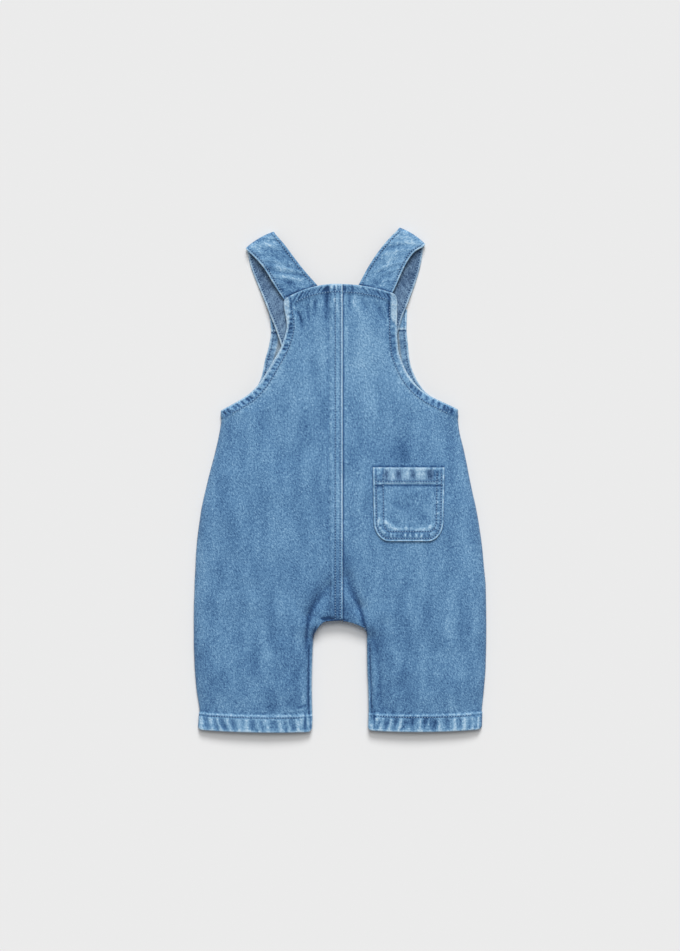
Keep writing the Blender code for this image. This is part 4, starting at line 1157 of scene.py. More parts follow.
def faces_inwards(mesh, outer, inner):
    """Whether the faces point into the wall, judged at the middle of the outer grid."""
    rows, columns = outer.shape[:2]
    index = (rows // 2) * (columns - 1) + columns // 2
    i, j = divmod(index, columns - 1)
    out = Vector(outer[i, j] - inner[i, j])
    return mesh.polygons[index].normal.dot(out) < 0


def keep(name, mesh, finish, node=None):
    """An object for a mesh, which rides on the one body and may stand for a solid."""
    mesh.materials.append(finish)
    made = bpy.data.objects.new(name, mesh)
    bpy.context.scene.collection.objects.link(made)
    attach(made, "root")
    if node:
        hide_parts(node)
    return made


def looks_of(cloth, over, under):
    """Attributes for the outer face from one relief, and for the inner face from another."""
    return {
        "cloth": (cloth, cloth),
        "wear": (np.clip(over.wear, DARKEST, 1), np.clip(under.wear, DARKEST, 1)),
        "inside": (over.inside, under.inside),
    }


def cloth_places(x, y):
    return np.stack([x, y, np.zeros(np.shape(x))], axis=-1) * MM


def pocket_shadow(relief, x, y):
    """The dark line on the seat along the pocket's edge."""
    outside = pocket_distance(x, y)
    above = (y > POCKET_TOP) & (np.abs(x - POCKET_MIDDLE) < POCKET_HALF_WIDTH)
    broken = 0.45 + 0.55 * ridges(x, 240, 7.0, 2.4)
    relief.line(outside, 1.2, 1.1, -0.95, where=above * broken)
    relief.line(outside, 0.4, 1.0, -0.32, where=(outside > -1) * ~above)


def back_piece(side, finish):
    body = rows_between(BACK_BODY[side], BACK_SPACING)
    bib = rows_between(BACK_BIB[side], BACK_SPACING)
    rows = np.vstack([body, bib[1:]])
    from_outer = EDGE_STEPS[::-1]
    distance, width = distances_in(rows, INNER_STEPS, BACK_MIDDLE, from_outer, len(body) - 1)
    x, y = panel_plan(rows, distance, width, side, BIB_CORNER)
    z, up, from_inseam = rolled_surface(
        rows, distance, width, x, y, INSEAM_HEIGHT, BACK_ROLL_OUT, BACK_ROLL_IN
    )
    from_edge = np.minimum(from_inseam, width - distance)
    z = z + fold_height(x, y) * smooth_step(from_edge / FOLD_FADE)
    base = np.stack([x, y, z], axis=2)
    relief = back_relief(side, x, y, from_inseam)
    if side == "right":
        pocket_shadow(relief, x, y)
    raised = relief.raised * smooth_step(distance / 0.6 + 0.4)
    outer = base + raised[..., None] * up
    under = Relief(np.shape(x))
    at_edge = 1 - smooth_step((from_edge - 0.8) / 1.2)
    under.inside += 0.9 * (1 - at_edge)
    # Painted shade along the rim of the inner face.
    under.add(at_edge, wear=-0.5)
    hollow = np.minimum(relief.raised, 0.0)[..., None]
    inner = base - (WALL - 0.7 * hollow) * up
    looks = looks_of(cloth_places(x, y), relief, under)
    return shell(f"cloth_back_{side}", outer, inner, looks, finish, f"back_{side}")


def front_table(side):
    body = [row._replace(crown=0.0, edge_out=row.edge_out - GAP) for row in BACK_BODY[side]]
    foot = body[-1]
    bib = [
        Section(edge.name, foot.in_x, edge.in_y, edge.out_x, edge.out_y, 0.0, 0.0, 0.0)
        for edge in FRONT_BIB[side]
    ]
    return body, [foot] + bib


def front_edges(side):
    """The front's edges as lines in plan: the bib's top, the armhole and the leg hem."""
    bib_top = FRONT_BIB[side][-1]
    top = [(0.0, bib_top.in_y), (SIDE_SIGN[side] * bib_top.out_x, bib_top.out_y)]
    return top, out_edge(front_table(side)[1], side), hem_edge(side)


def front_lift(side, x, y):
    """The front bib stands off the floor over its button."""
    out, up = BUTTON_PLACE[side]
    away = np.hypot(x - SIDE_SIGN[side] * out, y - up)
    return BUTTON_LIFT * (1 - smooth_step((away - BUTTON_LIFT_FLAT) / BUTTON_LIFT_FALL))


def front_relief(side, x, y):
    """The inside of the front: the bib's facing, with a painted shadow under its lower edge, and the
    turned armhole edge.
    """
    seed = SEED[side] + 200
    top_line, arm_line, hem_line = front_edges(side)
    top, hem = locate(x, y, top_line)[0], locate(x, y, hem_line)[0]
    arm, along, _ = locate(x, y, arm_line)
    relief = Relief(np.shape(x))
    turned = smooth_step((ARMHOLE_BAND - arm) / 0.6)
    faced = smooth_step((FACING_DEPTH - top) / 0.6)
    covered = np.maximum(np.maximum(turned, faced), hem < HEM_DEPTH)
    relief.inside += 0.9 * (1 - covered) + 0.12 * turned * (1 - faced)
    relief.wear += turned * (0.12 + 0.30 * blotches(x, y, 7.0, seed + 2))
    relief.turned_edge(top, FACING_DEPTH, FACING_RAISE)
    relief.turned_edge(arm, ARMHOLE_BAND, BAND_RAISE)
    relief.turned_edge(hem, HEM_DEPTH, HEM_RAISE * 0.5)
    below = smooth_step((top - FACING_DEPTH) / 1.0)
    dark = ridges(along + 0.25 * SIDE_SIGN[side] * arm, seed, 5.4, 1.1)
    relief.bars(arm, dark * below, 0.9, 6.4, 0.9)
    relief.stitched(arm, FACING_ROW, 1.0)
    relief.stitched(top, FACING_ROW, 0.8)
    relief.line(arm, 0.0, 0.9, 0.55)
    relief.line(arm, ARMHOLE_BAND + 1.2, 0.9, -0.35, where=below)
    relief.line(top, 0.0, 0.9, 0.5)
    relief.line(top, FACING_DEPTH - 0.5, 0.8, 1.25)
    # Painted shadow under the facing's lower edge.
    relief.line(top, FACING_DEPTH + 1.3, 0.9, -1.20)
    relief.wear += 0.26 * blotches(x, y, 5.0, seed + 1) + 0.06
    return relief


def front_outer_relief(side, x, y):
    """The wear of the front's right side, which lies flat on the floor."""
    seed = SEED[side] + 400
    top_line, arm_line, hem_line = front_edges(side)
    top, hem = locate(x, y, top_line)[0], locate(x, y, hem_line)[0]
    arm, along, _ = locate(x, y, arm_line)
    relief = Relief(np.shape(x))
    relief.puckers(hem, ridges_at(x, HEM_RIDGES[side], 2.4, seed), 0.0, 13.4, 0.6)
    relief.line(hem, 15.3, 0.8, 0.5)
    relief.line(top, 0.0, 0.9, 0.5)
    relief.bars(arm, ridges(along, seed + 1, 5.3, 1.1), 0.9, 5.4, 0.8)
    for distance, at in ((hem, HEM_ROW), (arm, ARMHOLE_ROW), (top, FACING_ROW), (top, FACING_DEPTH - 1)):
        relief.stitched(distance, at)
    over = 1.0 if side == "left" else -1.0
    relief.line(SIDE_SIGN[side] * x + over * SEAM_LAP, 0.0, 0.8, 0.6 * over)
    relief.wear += 0.06 * blotches(x, y, 22.0, seed + 2) + 0.08 * blotches(x, y, 9.0, seed + 3)
    return relief


def front_piece(side, finish):
    body, bib = front_table(side)
    body_rows = rows_between(body, FRONT_BODY_SPACING)
    bib_rows = rows_between(bib, FRONT_BIB_SPACING)
    rows = np.vstack([body_rows, bib_rows[1:]])
    from_inner = (0.0, 0.5, 1.0, 2.0, 3.0, 5.0, 8.0)
    distance, width = distances_in(
        rows, from_inner, FRONT_MIDDLE, EDGE_STEPS[::-1], len(body_rows) - 1
    )
    x, y = panel_plan(rows, distance, width, side, FRONT_CORNER)
    z, up, _ = rolled_surface(
        rows, distance, width, x, y, INSEAM_HEIGHT - GAP, FRONT_ROLL_OUT, FRONT_ROLL_IN
    )
    base = np.stack([x, y, z + front_lift(side, x, y)], axis=2)
    inside = front_relief(side, x, y)
    upper = base + (WALL + np.maximum(inside.raised, -0.3))[..., None] * up
    lower = base + FRONT_REST * up
    looks = looks_of(cloth_places(x, y), inside, front_outer_relief(side, x, y))
    return shell(f"cloth_front_{side}", upper, lower, looks, finish, f"front_{side}")


# Straps


def station_rows(table, spacing):
    values = np.array([row[1:] for row in table], float)
    middle = (values[:, 0:2] + values[:, 2:4]) / 2
    knots = run_along(middle)
    count = round(knots[-1] / spacing)
    return curve_at(knots, values, np.linspace(0.0, knots[-1], count + 1))


def strap_stations(side):
    """Stations down the whole strap: the upper run, round the fold, and the lower run."""
    upper = station_rows(STRAP_UPPER[side], STRAP_SPACING)
    lower = station_rows(STRAP_LOWER[side], STRAP_SPACING)
    fold = upper[-1]
    across = unit(fold[0:2] - fold[2:4])
    away = np.array([-across[1], across[0]])
    away = away if away[1] > 0 else -away
    bend = []
    for angle in np.linspace(0.0, np.pi, FOLD_STEPS + 2)[1:-1]:
        reach = away * FOLD_RADIUS * np.sin(angle)
        height = WALL + FOLD_RADIUS * (1 + np.cos(angle))
        bend.append(np.concatenate([fold[0:2] + reach, fold[2:4] + reach, [height]]))
    return np.vstack([upper, np.array(bend), lower]), len(upper)


def strap_grid(side):
    stations, fold_at = strap_stations(side)
    share = 0.5 - 0.5 * np.cos(np.linspace(0.0, np.pi, STRAP_COLUMNS))
    share = 0.35 * share + 0.65 * np.linspace(0.0, 1.0, STRAP_COLUMNS)
    out = stations[:, 0:1] + (stations[:, 2:3] - stations[:, 0:1]) * share
    y = stations[:, 1:2] + (stations[:, 3:4] - stations[:, 1:2]) * share
    z = np.broadcast_to(stations[:, 4:5], out.shape)
    rows_from_fold = np.abs(np.arange(len(stations)) - fold_at - FOLD_STEPS / 2)[:, None]
    bow = FOLD_BOW * (4 * share * (1 - share) - 0.5) * bell(rows_from_fold, 9.0)
    out, y = out + 0.5 * bow, y + 0.87 * bow
    middle = np.stack([SIDE_SIGN[side] * out, y, z], axis=2)
    normal = unit(np.cross(np.gradient(middle, axis=0), np.gradient(middle, axis=1)))
    if normal[0, 0, 2] < 0:
        normal = -normal
    width = np.linalg.norm(stations[:, 2:4] - stations[:, 0:2], axis=1)[:, None]
    along = run_along(middle[:, STRAP_COLUMNS // 2])[:, None] * np.ones_like(share)
    return middle, normal, share * width, width, along, fold_at


def strap_relief(across, width, along, seed):
    """Relief of one face of a strap, whose outer edge is at nothing across."""
    relief = Relief(np.shape(along))
    edge = np.minimum(across, width - across)
    relief.stitched(edge, STRAP_ROW, 1.0)
    uneven = 0.6 + 0.4 * ridges(along, seed, 6.0, 2.4)
    relief.line(across, 0.3, 0.8, 0.80, where=uneven)
    relief.line(width - across, 0.3, 0.7, 0.22, where=uneven)
    relief.add(smooth_step((1.6 - edge) / 1.6), raised=-0.25)
    # Diagonal wrinkles: painted highlights on the raised ridges and painted shade in the sunk ones.
    slanted = along + 0.75 * (across - width / 2)
    relief.add(ridges(slanted, seed + 1, 9.0, 2.2) - 0.40, raised=0.45, wear=0.34)
    relief.add(ridges(slanted + 4.0, seed + 2, 12.5, 1.1), raised=-0.30, wear=-0.34)
    relief.wear += 0.22 * blotches(across, along, 6.5, seed + 3)
    relief.wear += 0.16 * blotches(across, along, 3.0, seed + 4)
    return relief


def strap_piece(side, finish):
    middle, normal, across, width, along, fold_at = strap_grid(side)
    seed = SEED[side] + 600
    outside = strap_relief(across, width, along, seed)
    below = strap_relief(across, width, along, seed + 50)
    x, y = middle[..., 0], middle[..., 1]
    from_fold = along - along[fold_at]
    upper_run = from_fold < 0
    marks = Relief(np.shape(along))
    marks.spots(x, y, STRAP_SPOTS[side])
    outside.add(upper_run, raised=marks.raised, wear=marks.wear)
    under_bib = locate(x, y, top_edge(side))[0]
    # Painted shadow on the upper run where it goes under the bib's top edge.
    outside.line(under_bib, 0.6, 1.5, -0.95, where=upper_run)
    outside.wear += UPPER_STRAP_TONE[side] + 0.22 * bell(from_fold + 4.0, 5.0)
    under = Relief(np.shape(along))
    # The lower run shows the pale inner face, darkened by painted shade.
    under.wear = 0.75 * below.wear + LOWER_STRAP_SHADE[side]
    under.line(across, 0.4, 1.0, 0.70)
    under.inside += 0.36
    for relief in (outside, below):
        relief.raised *= smooth_step(np.abs(from_fold) / 10.0)
    half = STRAP_THICKNESS / 2
    swell = np.where(upper_run, smooth_step((along - 12.0) / 8.0), 0.4)
    over = half + outside.raised * swell
    below_half = half + np.minimum(below.raised, 0.0) * 0.5
    outer = middle + over[..., None] * normal
    inner = middle - below_half[..., None] * normal
    outer[..., 2] = np.maximum(outer[..., 2], STRAP_REST)
    inner[..., 2] = np.maximum(inner[..., 2], STRAP_REST)
    looks = looks_of(cloth_places(across, along), outside, under)
    return shell(f"cloth_strap_{side}", outer, inner, looks, finish, f"strap_{side}")


# Pocket


def surface_tree(piece):
    """The piece as a tree of faces that rays can be cast at."""
    mesh = piece.data
    points = [v.co for v in mesh.vertices]
    return BVHTree.FromPolygons(points, [tuple(p.vertices) for p in mesh.polygons])


def heights_on(tree, x, y, downwards=True):
    """Heights in millimetres of the face met first over or under points in plan, and its normals."""
    start = 0.2 if downwards else -0.2
    way = Vector((0, 0, -1 if downwards else 1))
    height = np.zeros(np.shape(x))
    normals = np.zeros(np.shape(x) + (3,))
    for at in np.ndindex(np.shape(x)):
        place, normal, _, _ = tree.ray_cast(Vector((x[at] * MM, y[at] * MM, start)), way)
        if place is None:
            height[at] = np.nan
            continue
        height[at] = place.z / MM
        normals[at] = normal
    return height, normals


def pocket_relief(x, y, down):
    relief = Relief(np.shape(x))
    edge, along, _ = locate(x, y, pocket_outline())
    relief.turned_edge(down, POCKET_HEM, 0.7)
    relief.turned_edge(edge, POCKET_TURNING, 0.45)

    # Deep turned hem, pale with dark bars
    inside_rows = smooth_step((edge - 9.0) / 1.2)
    within_hem = inside_rows * smooth_step(down / 1.6) * smooth_step((12.2 - down) / 1.6)
    relief.add(within_hem, wear=0.16)
    relief.inside += 0.16 * within_hem
    relief.puckers(down, ridges(x, 901, 6.5, 1.3), 0.5, 12.2, 0.22)
    relief.stitched(down, POCKET_HEM_ROW)
    relief.lines(down, x, POCKET_HEM_LINES, 0, smooth_step((edge - 0.5) / 1.0))
    relief.line(down, 0.5, 1.0, 1.00, where=0.5 + 0.5 * ridges(x, 903, 6.0, 2.0))

    # Turned sides and bottom, with two rows of stitches
    for row in pocket_rows():
        relief.stitched(locate(x, y, row)[0], 0.0, 1.5)
    low = smooth_step((down - 38.0) / 20.0)
    below_hem = smooth_step((down - POCKET_HEM) / 0.8)
    high = (1 - low) * below_hem * ridges(along, 907, 7, 2)
    lumps = (ridges(along, 905, 5.2, 1.3) - 0.40) * (0.70 + 0.75 * low)
    relief.line(edge, 0.5, 0.75, 0.98, where=0.5 + 0.5 * ridges(along, 904, 6.5, 2.2))
    relief.line(edge, 5.5, 1.7, 0.70, 0.45, lumps)
    relief.line(edge, 5.2, 1.0, -0.55, where=low * ridges(along, 906, 5.4, 1.0))
    relief.line(edge, 8.0, 0.8, -0.25, where=low * below_hem)
    relief.line(edge, 10.6, 0.9, 0.35, where=high)
    relief.spots(x, y, POCKET_SPOTS, 0.45)
    relief.wear += 0.10 * blotches(x, y, 8.0, 908) + 0.12 * blotches(x, y, 4.0, 909)
    relief.raised += 0.12 * blotches(x, y, 14.0, 910)
    return relief


def pocket_piece(finish, back_tree):
    down = np.linspace(0.0, POCKET_HEIGHT, round(POCKET_HEIGHT / POCKET_SPACING))
    corner = POCKET_CORNER_UP * (1 - np.cos(np.linspace(0.0, np.pi / 2, POCKET_CORNER_ROWS)))
    straight = down[down < POCKET_HEIGHT - POCKET_CORNER_UP]
    down = np.concatenate([straight, POCKET_HEIGHT - corner[::-1]])
    columns = round(2 * POCKET_HALF_WIDTH / POCKET_SPACING)
    share = np.linspace(-1.0, 1.0, columns)
    x = POCKET_MIDDLE + pocket_half_width(down)[:, None] * share
    y = np.broadcast_to(POCKET_TOP - down[:, None], x.shape)
    seat, _ = heights_on(back_tree, x, y)
    middle = np.stack([x, y, seat], axis=2)
    normal = unit(np.cross(np.gradient(middle, axis=0), np.gradient(middle, axis=1)))
    normal = normal * np.sign(normal[..., 2:3])
    relief = pocket_relief(x, y, np.broadcast_to(down[:, None], x.shape))
    inner = middle + GAP * normal
    outer = inner + (WALL + relief.raised)[..., None] * normal
    under = Relief(np.shape(x))
    under.inside += 0.9
    looks = looks_of(cloth_places(x, y), relief, under)
    return shell("cloth_pocket", outer, inner, looks, finish, "pocket")


# Stitches


def stitch_mesh(name, rows, finish):
    """One mesh of all the stitches along rows. A row is its points and the normals there."""
    points, shades, faces = [], [], []
    for line, normals in rows:
        run = run_along(line)
        for k in range(int(run[-1] // STITCH_PITCH)):
            middle = (k + 0.5) * STITCH_PITCH
            ends = np.array([middle - STITCH_LENGTH / 2, middle, middle + STITCH_LENGTH / 2])
            place = np.stack([np.interp(ends, run, line[:, c]) for c in range(3)], axis=1)
            up = np.array([np.interp(middle, run, normals[:, c]) for c in range(3)])
            if np.isnan(place).any() or np.linalg.norm(up) < 0.5:
                continue
            add_stitch(points, shades, faces, place, unit(up))
    mesh = bpy.data.meshes.new(name)
    mesh.from_pydata((np.array(points) * MM).tolist(), [], faces)
    field = mesh.attributes.new("shade", "FLOAT", "POINT")
    field.data.foreach_set("value", shades)
    mesh.shade_smooth()
    return keep(name, mesh, finish)


def add_stitch(points, shades, faces, place, up):
    """A thread that rises out of its hole, runs along the cloth and dips into the next one."""
    along = unit(place[2] - place[0])
    across = np.cross(along, up)
    start = len(points)
    for ring in range(STITCH_RINGS):
        share = ring / (STITCH_RINGS - 1)
        centre = place[0] * (1 - share) + place[2] * share
        arch = math.sin(math.pi * (0.08 + 0.84 * share))
        radius = STITCH_WIDTH / 2 * (0.75 + 0.25 * arch)
        lift = STITCH_HEIGHT * (arch - 0.45)
        for k in range(STITCH_SIDES):
            angle = 2 * math.pi * k / STITCH_SIDES
            offset = across * math.cos(angle) * radius + up * math.sin(angle) * radius * 0.7
            points.append(centre + up * lift + offset)
            # The shade attribute is painted shade: dark where the thread dips into its holes, pale along
            # its top.
            shades.append(float(smooth_step((arch - 0.78) / 0.20)))
    for ring in range(STITCH_RINGS - 1):
        for k in range(STITCH_SIDES):
            a = start + ring * STITCH_SIDES + k
            b = start + ring * STITCH_SIDES + (k + 1) % STITCH_SIDES
            faces.append([a, b, b + STITCH_SIDES, a + STITCH_SIDES])
    last = start + (STITCH_RINGS - 1) * STITCH_SIDES
    faces.append([start + k for k in reversed(range(STITCH_SIDES))])
    faces.append([last + k for k in range(STITCH_SIDES)])


def row_on(tree, line, downwards=True):
    """A row of stitches laid on a piece: its points follow the line in plan."""
    line = np.array(line, float)
    run = run_along(line)
    at = np.linspace(0.0, run[-1], max(3, int(run[-1] / STITCH_ROW_STEP)))
    x, y = np.interp(at, run, line[:, 0]), np.interp(at, run, line[:, 1])
    z, normals = heights_on(tree, x, y, downwards)
    if not downwards:
        z = z + STITCH_SINK
    return np.stack([x, y, z], axis=1), normals


def back_stitches(side, tree, finish):
    sign = SIDE_SIGN[side]
    hem = offset_line(hem_edge(side), sign * HEM_ROW)
    arm = offset_line(out_edge(BACK_BIB[side], side), sign * ARMHOLE_ROW)
    top = offset_line(top_edge(side), -sign * TOP_ROW)
    rows = [row_on(tree, hem[1:-1]), row_on(tree, arm[3:-4]), row_on(tree, top[:-1])]
    if side == "left":
        for x in (SEAM_LAP - row for row in SEAM_ROWS):
            rows.append(row_on(tree, [(x, crotch_height(side) + 1.0), (x, SEAM_STITCH_TOP)]))
    return stitch_mesh(f"stitches_back_{side}", rows, finish)


def pocket_stitches(tree, finish):
    rows = []
    for line in pocket_rows():
        rows.append(row_on(tree, line[line[:, 1] < POCKET_TOP - 0.8]))
    y = POCKET_TOP - POCKET_HEM_ROW
    ends = (POCKET_MIDDLE - POCKET_HEM_REACH, POCKET_MIDDLE + POCKET_HEM_REACH)
    rows.append(row_on(tree, [(x, y) for x in ends]))
    return stitch_mesh("stitches_pocket", rows, finish)


def strap_stitches(side, finish):
    middle, normal, across, width, _, _ = strap_grid(side)
    up = normal[:, STRAP_COLUMNS // 2]
    lift = STRAP_THICKNESS / 2 - STRAP_STITCH_SINK
    rows = []
    for inset in (np.full(len(middle), STRAP_ROW), width[:, 0] - STRAP_ROW):
        line = np.array([
            [np.interp(inset[row], across[row], middle[row, :, c]) for c in range(3)]
            for row in range(len(middle))
        ])
        for way in (1.0, -1.0):
            raised = line + way * lift * up
            raised[:, 2] = np.maximum(raised[:, 2], STITCH_WIDTH / 2)
            rows.append((raised, way * up))
    return stitch_mesh(f"stitches_strap_{side}", rows, finish)


def front_stitches(side, tree, finish):
    """Rows on the inside along the armhole, and on the right side, which faces the floor."""
    sign = SIDE_SIGN[side]
    top_line, arm_line, hem_line = front_edges(side)
    (in_x, in_y), (out_x, out_y) = top_line
    arm = offset_line(arm_line, sign * FACING_ROW)
    deep = offset_line(arm_line, sign * ARMHOLE_ROW)
    hem = offset_line(hem_line, sign * HEM_ROW)
    top = [(in_x + sign * 3.0, in_y - FACING_ROW), (out_x - sign * 2.0, out_y - FACING_ROW)]
    foot = [(x, y - FACING_DEPTH + 3.2) for x, y in top]
    rows = [row_on(tree, arm[3:-2])]
    rows += [row_on(tree, line, False) for line in (deep[3:-2], hem[1:-1], top, foot)]
    if side == "left":
        for x in (SEAM_LAP - row for row in SEAM_ROWS):
            rows.append(row_on(tree, [(x, FRONT_SEAM_FOOT), (x, in_y - 1.0)], False))
    return stitch_mesh(f"stitches_front_{side}", rows, finish)


# Buttons


def button_piece(side, finish):
    """A jeans button with a raised rim and a domed middle, and its shank."""
    sides = BUTTON_SIDES
    points, faces = [], []
    for radius, z in BUTTON_PROFILE[1:-1]:
        for k in range(sides):
            angle = 2 * math.pi * k / sides
            points.append((radius * math.cos(angle), radius * math.sin(angle), z))
    rings = len(BUTTON_PROFILE) - 2
    for ring in range(rings - 1):
        for k in range(sides):
            a, b = ring * sides + k, ring * sides + (k + 1) % sides
            faces.append([a, a + sides, b + sides, b])
    top, bottom = len(points), len(points) + 1
    points += [(0.0, 0.0, BUTTON_PROFILE[0][1]), (0.0, 0.0, BUTTON_PROFILE[-1][1])]
    last = (rings - 1) * sides
    for k in range(sides):
        following = (k + 1) % sides
        faces.append([k, following, top])
        faces.append([last + following, last + k, bottom])
    out, up = BUTTON_PLACE[side]
    place = np.array([SIDE_SIGN[side] * out, up, 0.0])
    mesh = bpy.data.meshes.new(f"jeans_button_{side}")
    mesh.from_pydata(((np.array(points) + place) * MM).tolist(), [], faces)
    mesh.shade_smooth()
    mesh.set_sharp_from_angle(angle=math.radians(50))
    return keep(f"jeans_button_{side}", mesh, finish, f"button_{side}")


# Materials


class Nodes:
    """A short way to add shader nodes and link them."""

    def __init__(self, name):
        self.material = bpy.data.materials.new(name)
        self.material.use_nodes = True
        self.tree = self.material.node_tree
        self.shader = self.tree.nodes["Principled BSDF"]

    def add(self, kind, inputs=(), **settings):
        made = self.tree.nodes.new(kind)
        for key, value in settings.items():
            setattr(made, key, value)
        for key, value in dict(inputs).items():
            if isinstance(value, bpy.types.NodeSocket):
                self.tree.links.new(value, made.inputs[key])
            else:
                made.inputs[key].default_value = value
        return made

    def math(self, operation, first, second=0.0, third=0.0):
        made = self.add("ShaderNodeMath", {0: first, 1: second, 2: third}, operation=operation)
        return made.outputs[0]

    def attribute(self, name, output):
        return self.add("ShaderNodeAttribute", attribute_name=name).outputs[output]

    def noise(self, vector, scale, detail=2.0, roughness=0.5):
        scaled = self.add("ShaderNodeVectorMath", {0: vector, 1: scale}, operation="MULTIPLY")
        inputs = {"Vector": scaled.outputs[0], "Scale": 1.0, "Detail": detail, "Roughness": roughness}
        return self.add("ShaderNodeTexNoise", inputs).outputs["Fac"]

    def ramp(self, value, stops):
        made = self.add("ShaderNodeValToRGB", {"Fac": value})
        while len(made.color_ramp.elements) < len(stops):
            made.color_ramp.elements.new(0.5)
        for element, (place, colour) in zip(made.color_ramp.elements, stops):
            element.position = place
            element.color = (*colour, 1.0)
        return made.outputs["Color"]

    def about(self, value, strength, base):
        """base plus strength times how far value is from a half."""
        return self.math("MULTIPLY_ADD", value, strength, self.math("ADD", base, -0.5 * strength))


def denim(name):
    """Washed denim: slubs down the warp, a slanting twill, flecks of white weft, and wear with painted
    shade and highlights.
    """
    nodes = Nodes(name)
    cloth = nodes.attribute("cloth", "Vector")
    wear = nodes.attribute("wear", "Fac")
    inside = nodes.attribute("inside", "Fac")
    slanted = nodes.add(
        "ShaderNodeVectorRotate", {"Vector": cloth, "Angle": math.radians(52)},
        rotation_type="Z_AXIS",
    ).outputs[0]
    slub = nodes.noise(cloth, (640.0, 260.0, 1.0), 1.0)
    twill = nodes.noise(slanted, (420.0, 900.0, 1.0), 1.0)
    fleck = nodes.noise(cloth, (900.0, 800.0, 1.0), 2.0, 0.6)
    cloud = nodes.noise(cloth, (74.0, 21.0, 1.0), 3.0)
    tone = nodes.math("MULTIPLY_ADD", wear, 0.5, 0.5)
    for value, strength in ((slub, 0.42), (twill, 0.66), (fleck, 0.96), (cloud, 0.41)):
        tone = nodes.about(value, strength, tone)
    outer = nodes.ramp(tone, DENIM_COLOURS)
    inner = nodes.ramp(tone, INSIDE_COLOURS)
    mixed = nodes.add("ShaderNodeMix", {"Factor": inside}, data_type="RGBA")
    nodes.tree.links.new(outer, mixed.inputs["A"])
    nodes.tree.links.new(inner, mixed.inputs["B"])
    colour = [socket for socket in mixed.outputs if socket.type == "RGBA"][0]
    grain = nodes.about(fleck, 0.8, nodes.about(slub, 0.5, twill))
    bump = nodes.add("ShaderNodeBump", {"Height": grain, "Strength": 0.55, "Distance": 0.0004})
    nodes.tree.links.new(colour, nodes.shader.inputs["Base Color"])
    nodes.tree.links.new(bump.outputs[0], nodes.shader.inputs["Normal"])
    nodes.shader.inputs["Roughness"].default_value = 0.92
    nodes.shader.inputs["Specular IOR Level"].default_value = 0.18
    nodes.shader.inputs["Sheen Weight"].default_value = 0.12
    nodes.shader.inputs["Sheen Roughness"].default_value = 0.6
    return nodes.material


def thread(name):
    """Sewing thread, pale on top of each stitch and darkened by painted shade at its ends, where it dips
    into the needle holes.
    """
    nodes = Nodes(name)
    place = nodes.add("ShaderNodeTexCoord").outputs["Object"]
    twist = nodes.noise(place, (2600.0, 2600.0, 2600.0), 1.0)
    shade = nodes.about(twist, 0.5, nodes.attribute("shade", "Fac"))
    colour = nodes.ramp(shade, THREAD_COLOURS)
    nodes.tree.links.new(colour, nodes.shader.inputs["Base Color"])
    bump = nodes.add("ShaderNodeBump", {"Height": twist, "Strength": 0.4, "Distance": 0.0001})
    nodes.tree.links.new(bump.outputs[0], nodes.shader.inputs["Normal"])
    nodes.shader.inputs["Roughness"].default_value = 0.85
    nodes.shader.inputs["Specular IOR Level"].default_value = 0.12
    return nodes.material


def button_metal(name):
    nodes = Nodes(name)
    place = nodes.add("ShaderNodeTexCoord").outputs["Object"]
    worn = nodes.noise(place, (700.0, 700.0, 700.0), 4.0, 0.6)
    fine = nodes.noise(place, (4200.0, 4200.0, 4200.0), 2.0)
    nodes.tree.links.new(nodes.ramp(worn, BUTTON_COLOURS), nodes.shader.inputs["Base Color"])
    rough = nodes.math("MULTIPLY_ADD", fine, 0.35, 0.22)
    nodes.tree.links.new(rough, nodes.shader.inputs["Roughness"])
    nodes.shader.inputs["Metallic"].default_value = 1.0
    return nodes.material


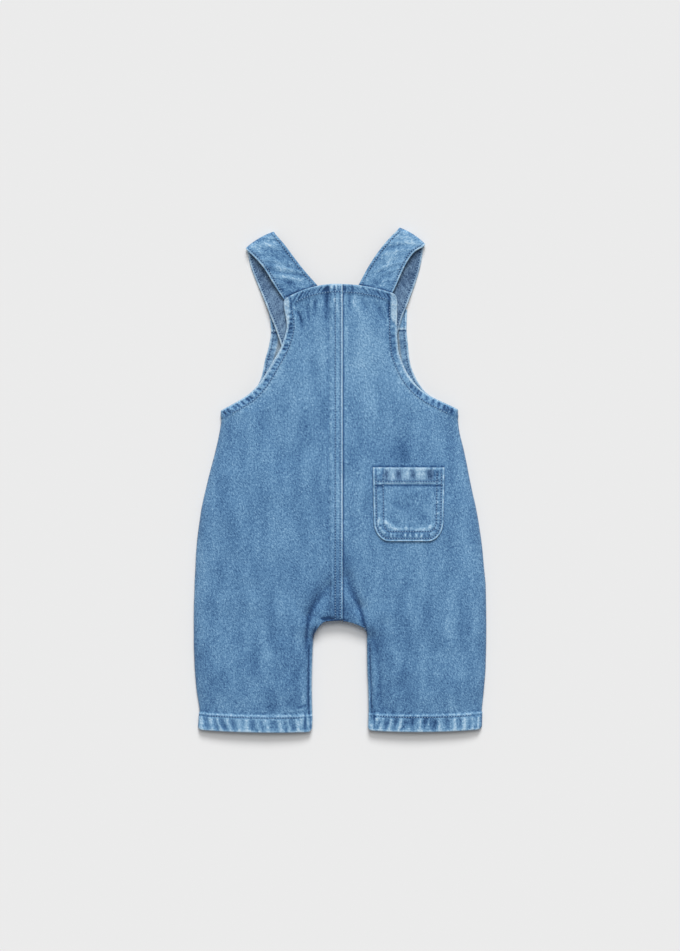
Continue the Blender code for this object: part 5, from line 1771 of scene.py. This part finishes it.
def plain(name, colour):
    nodes = Nodes(name)
    nodes.shader.inputs["Base Color"].default_value = (*colour, 1.0)
    nodes.shader.inputs["Roughness"].default_value = 1.0
    nodes.shader.inputs["Specular IOR Level"].default_value = 0.0
    return nodes.material


# Floor, light and camera


def add_light(name, strength, softness, tilt):
    """A soft light from far away, tilted from straight above towards +Y."""
    light = bpy.data.lights.new(name, "SUN")
    light.energy = strength
    light.angle = math.radians(softness)
    lamp = bpy.data.objects.new(name, light)
    lamp.rotation_euler = (-math.radians(tilt), 0.0, math.radians(SUN_TURN))
    bpy.context.scene.collection.objects.link(lamp)


def studio():
    scene = bpy.context.scene
    bpy.ops.mesh.primitive_plane_add(size=FLOOR_SIZE, location=(0, 0, 0))
    floor = bpy.context.object
    floor.name = "floor"
    floor.data.materials.append(plain("floor_paper", FLOOR_COLOUR))

    add_light("key", SUN_STRENGTH, SUN_SOFTNESS, SUN_TILT)
    add_light("fill", FILL_STRENGTH, FILL_SOFTNESS, FILL_TILT)

    world = bpy.data.worlds.new("sky")
    world.use_nodes = True
    world.node_tree.nodes["Background"].inputs["Color"].default_value = (1.0, 1.0, 1.0, 1.0)
    world.node_tree.nodes["Background"].inputs["Strength"].default_value = SKY_STRENGTH
    scene.world = world
    scene.view_settings.view_transform = "Standard"

    lens = bpy.data.cameras.new("camera")
    lens.lens = CAMERA_LENS
    lens.sensor_width = CAMERA_SENSOR
    camera = bpy.data.objects.new("camera", lens)
    away = FRAME_LENGTH * CAMERA_LENS / CAMERA_SENSOR
    camera.location = (CAMERA_AIM[0], CAMERA_AIM[1], CAMERA_AIM[2] + away)
    scene.collection.objects.link(camera)
    scene.camera = camera


# The whole


def build():
    cloth = denim("washed_denim")
    sewing = thread("denim_thread")
    metal = button_metal("antique_brass")
    trees = {}
    for side in ("left", "right"):
        front = front_piece(side, cloth)
        front_stitches(side, surface_tree(front), sewing)
        strap = strap_piece(side, cloth)
        strap_stitches(side, sewing)
        back = back_piece(side, cloth)
        trees[side] = surface_tree(back)
        back_stitches(side, trees[side], sewing)
        button_piece(side, metal)
    pocket = pocket_piece(cloth, trees["right"])
    pocket_stitches(surface_tree(pocket), sewing)


studio()
build()
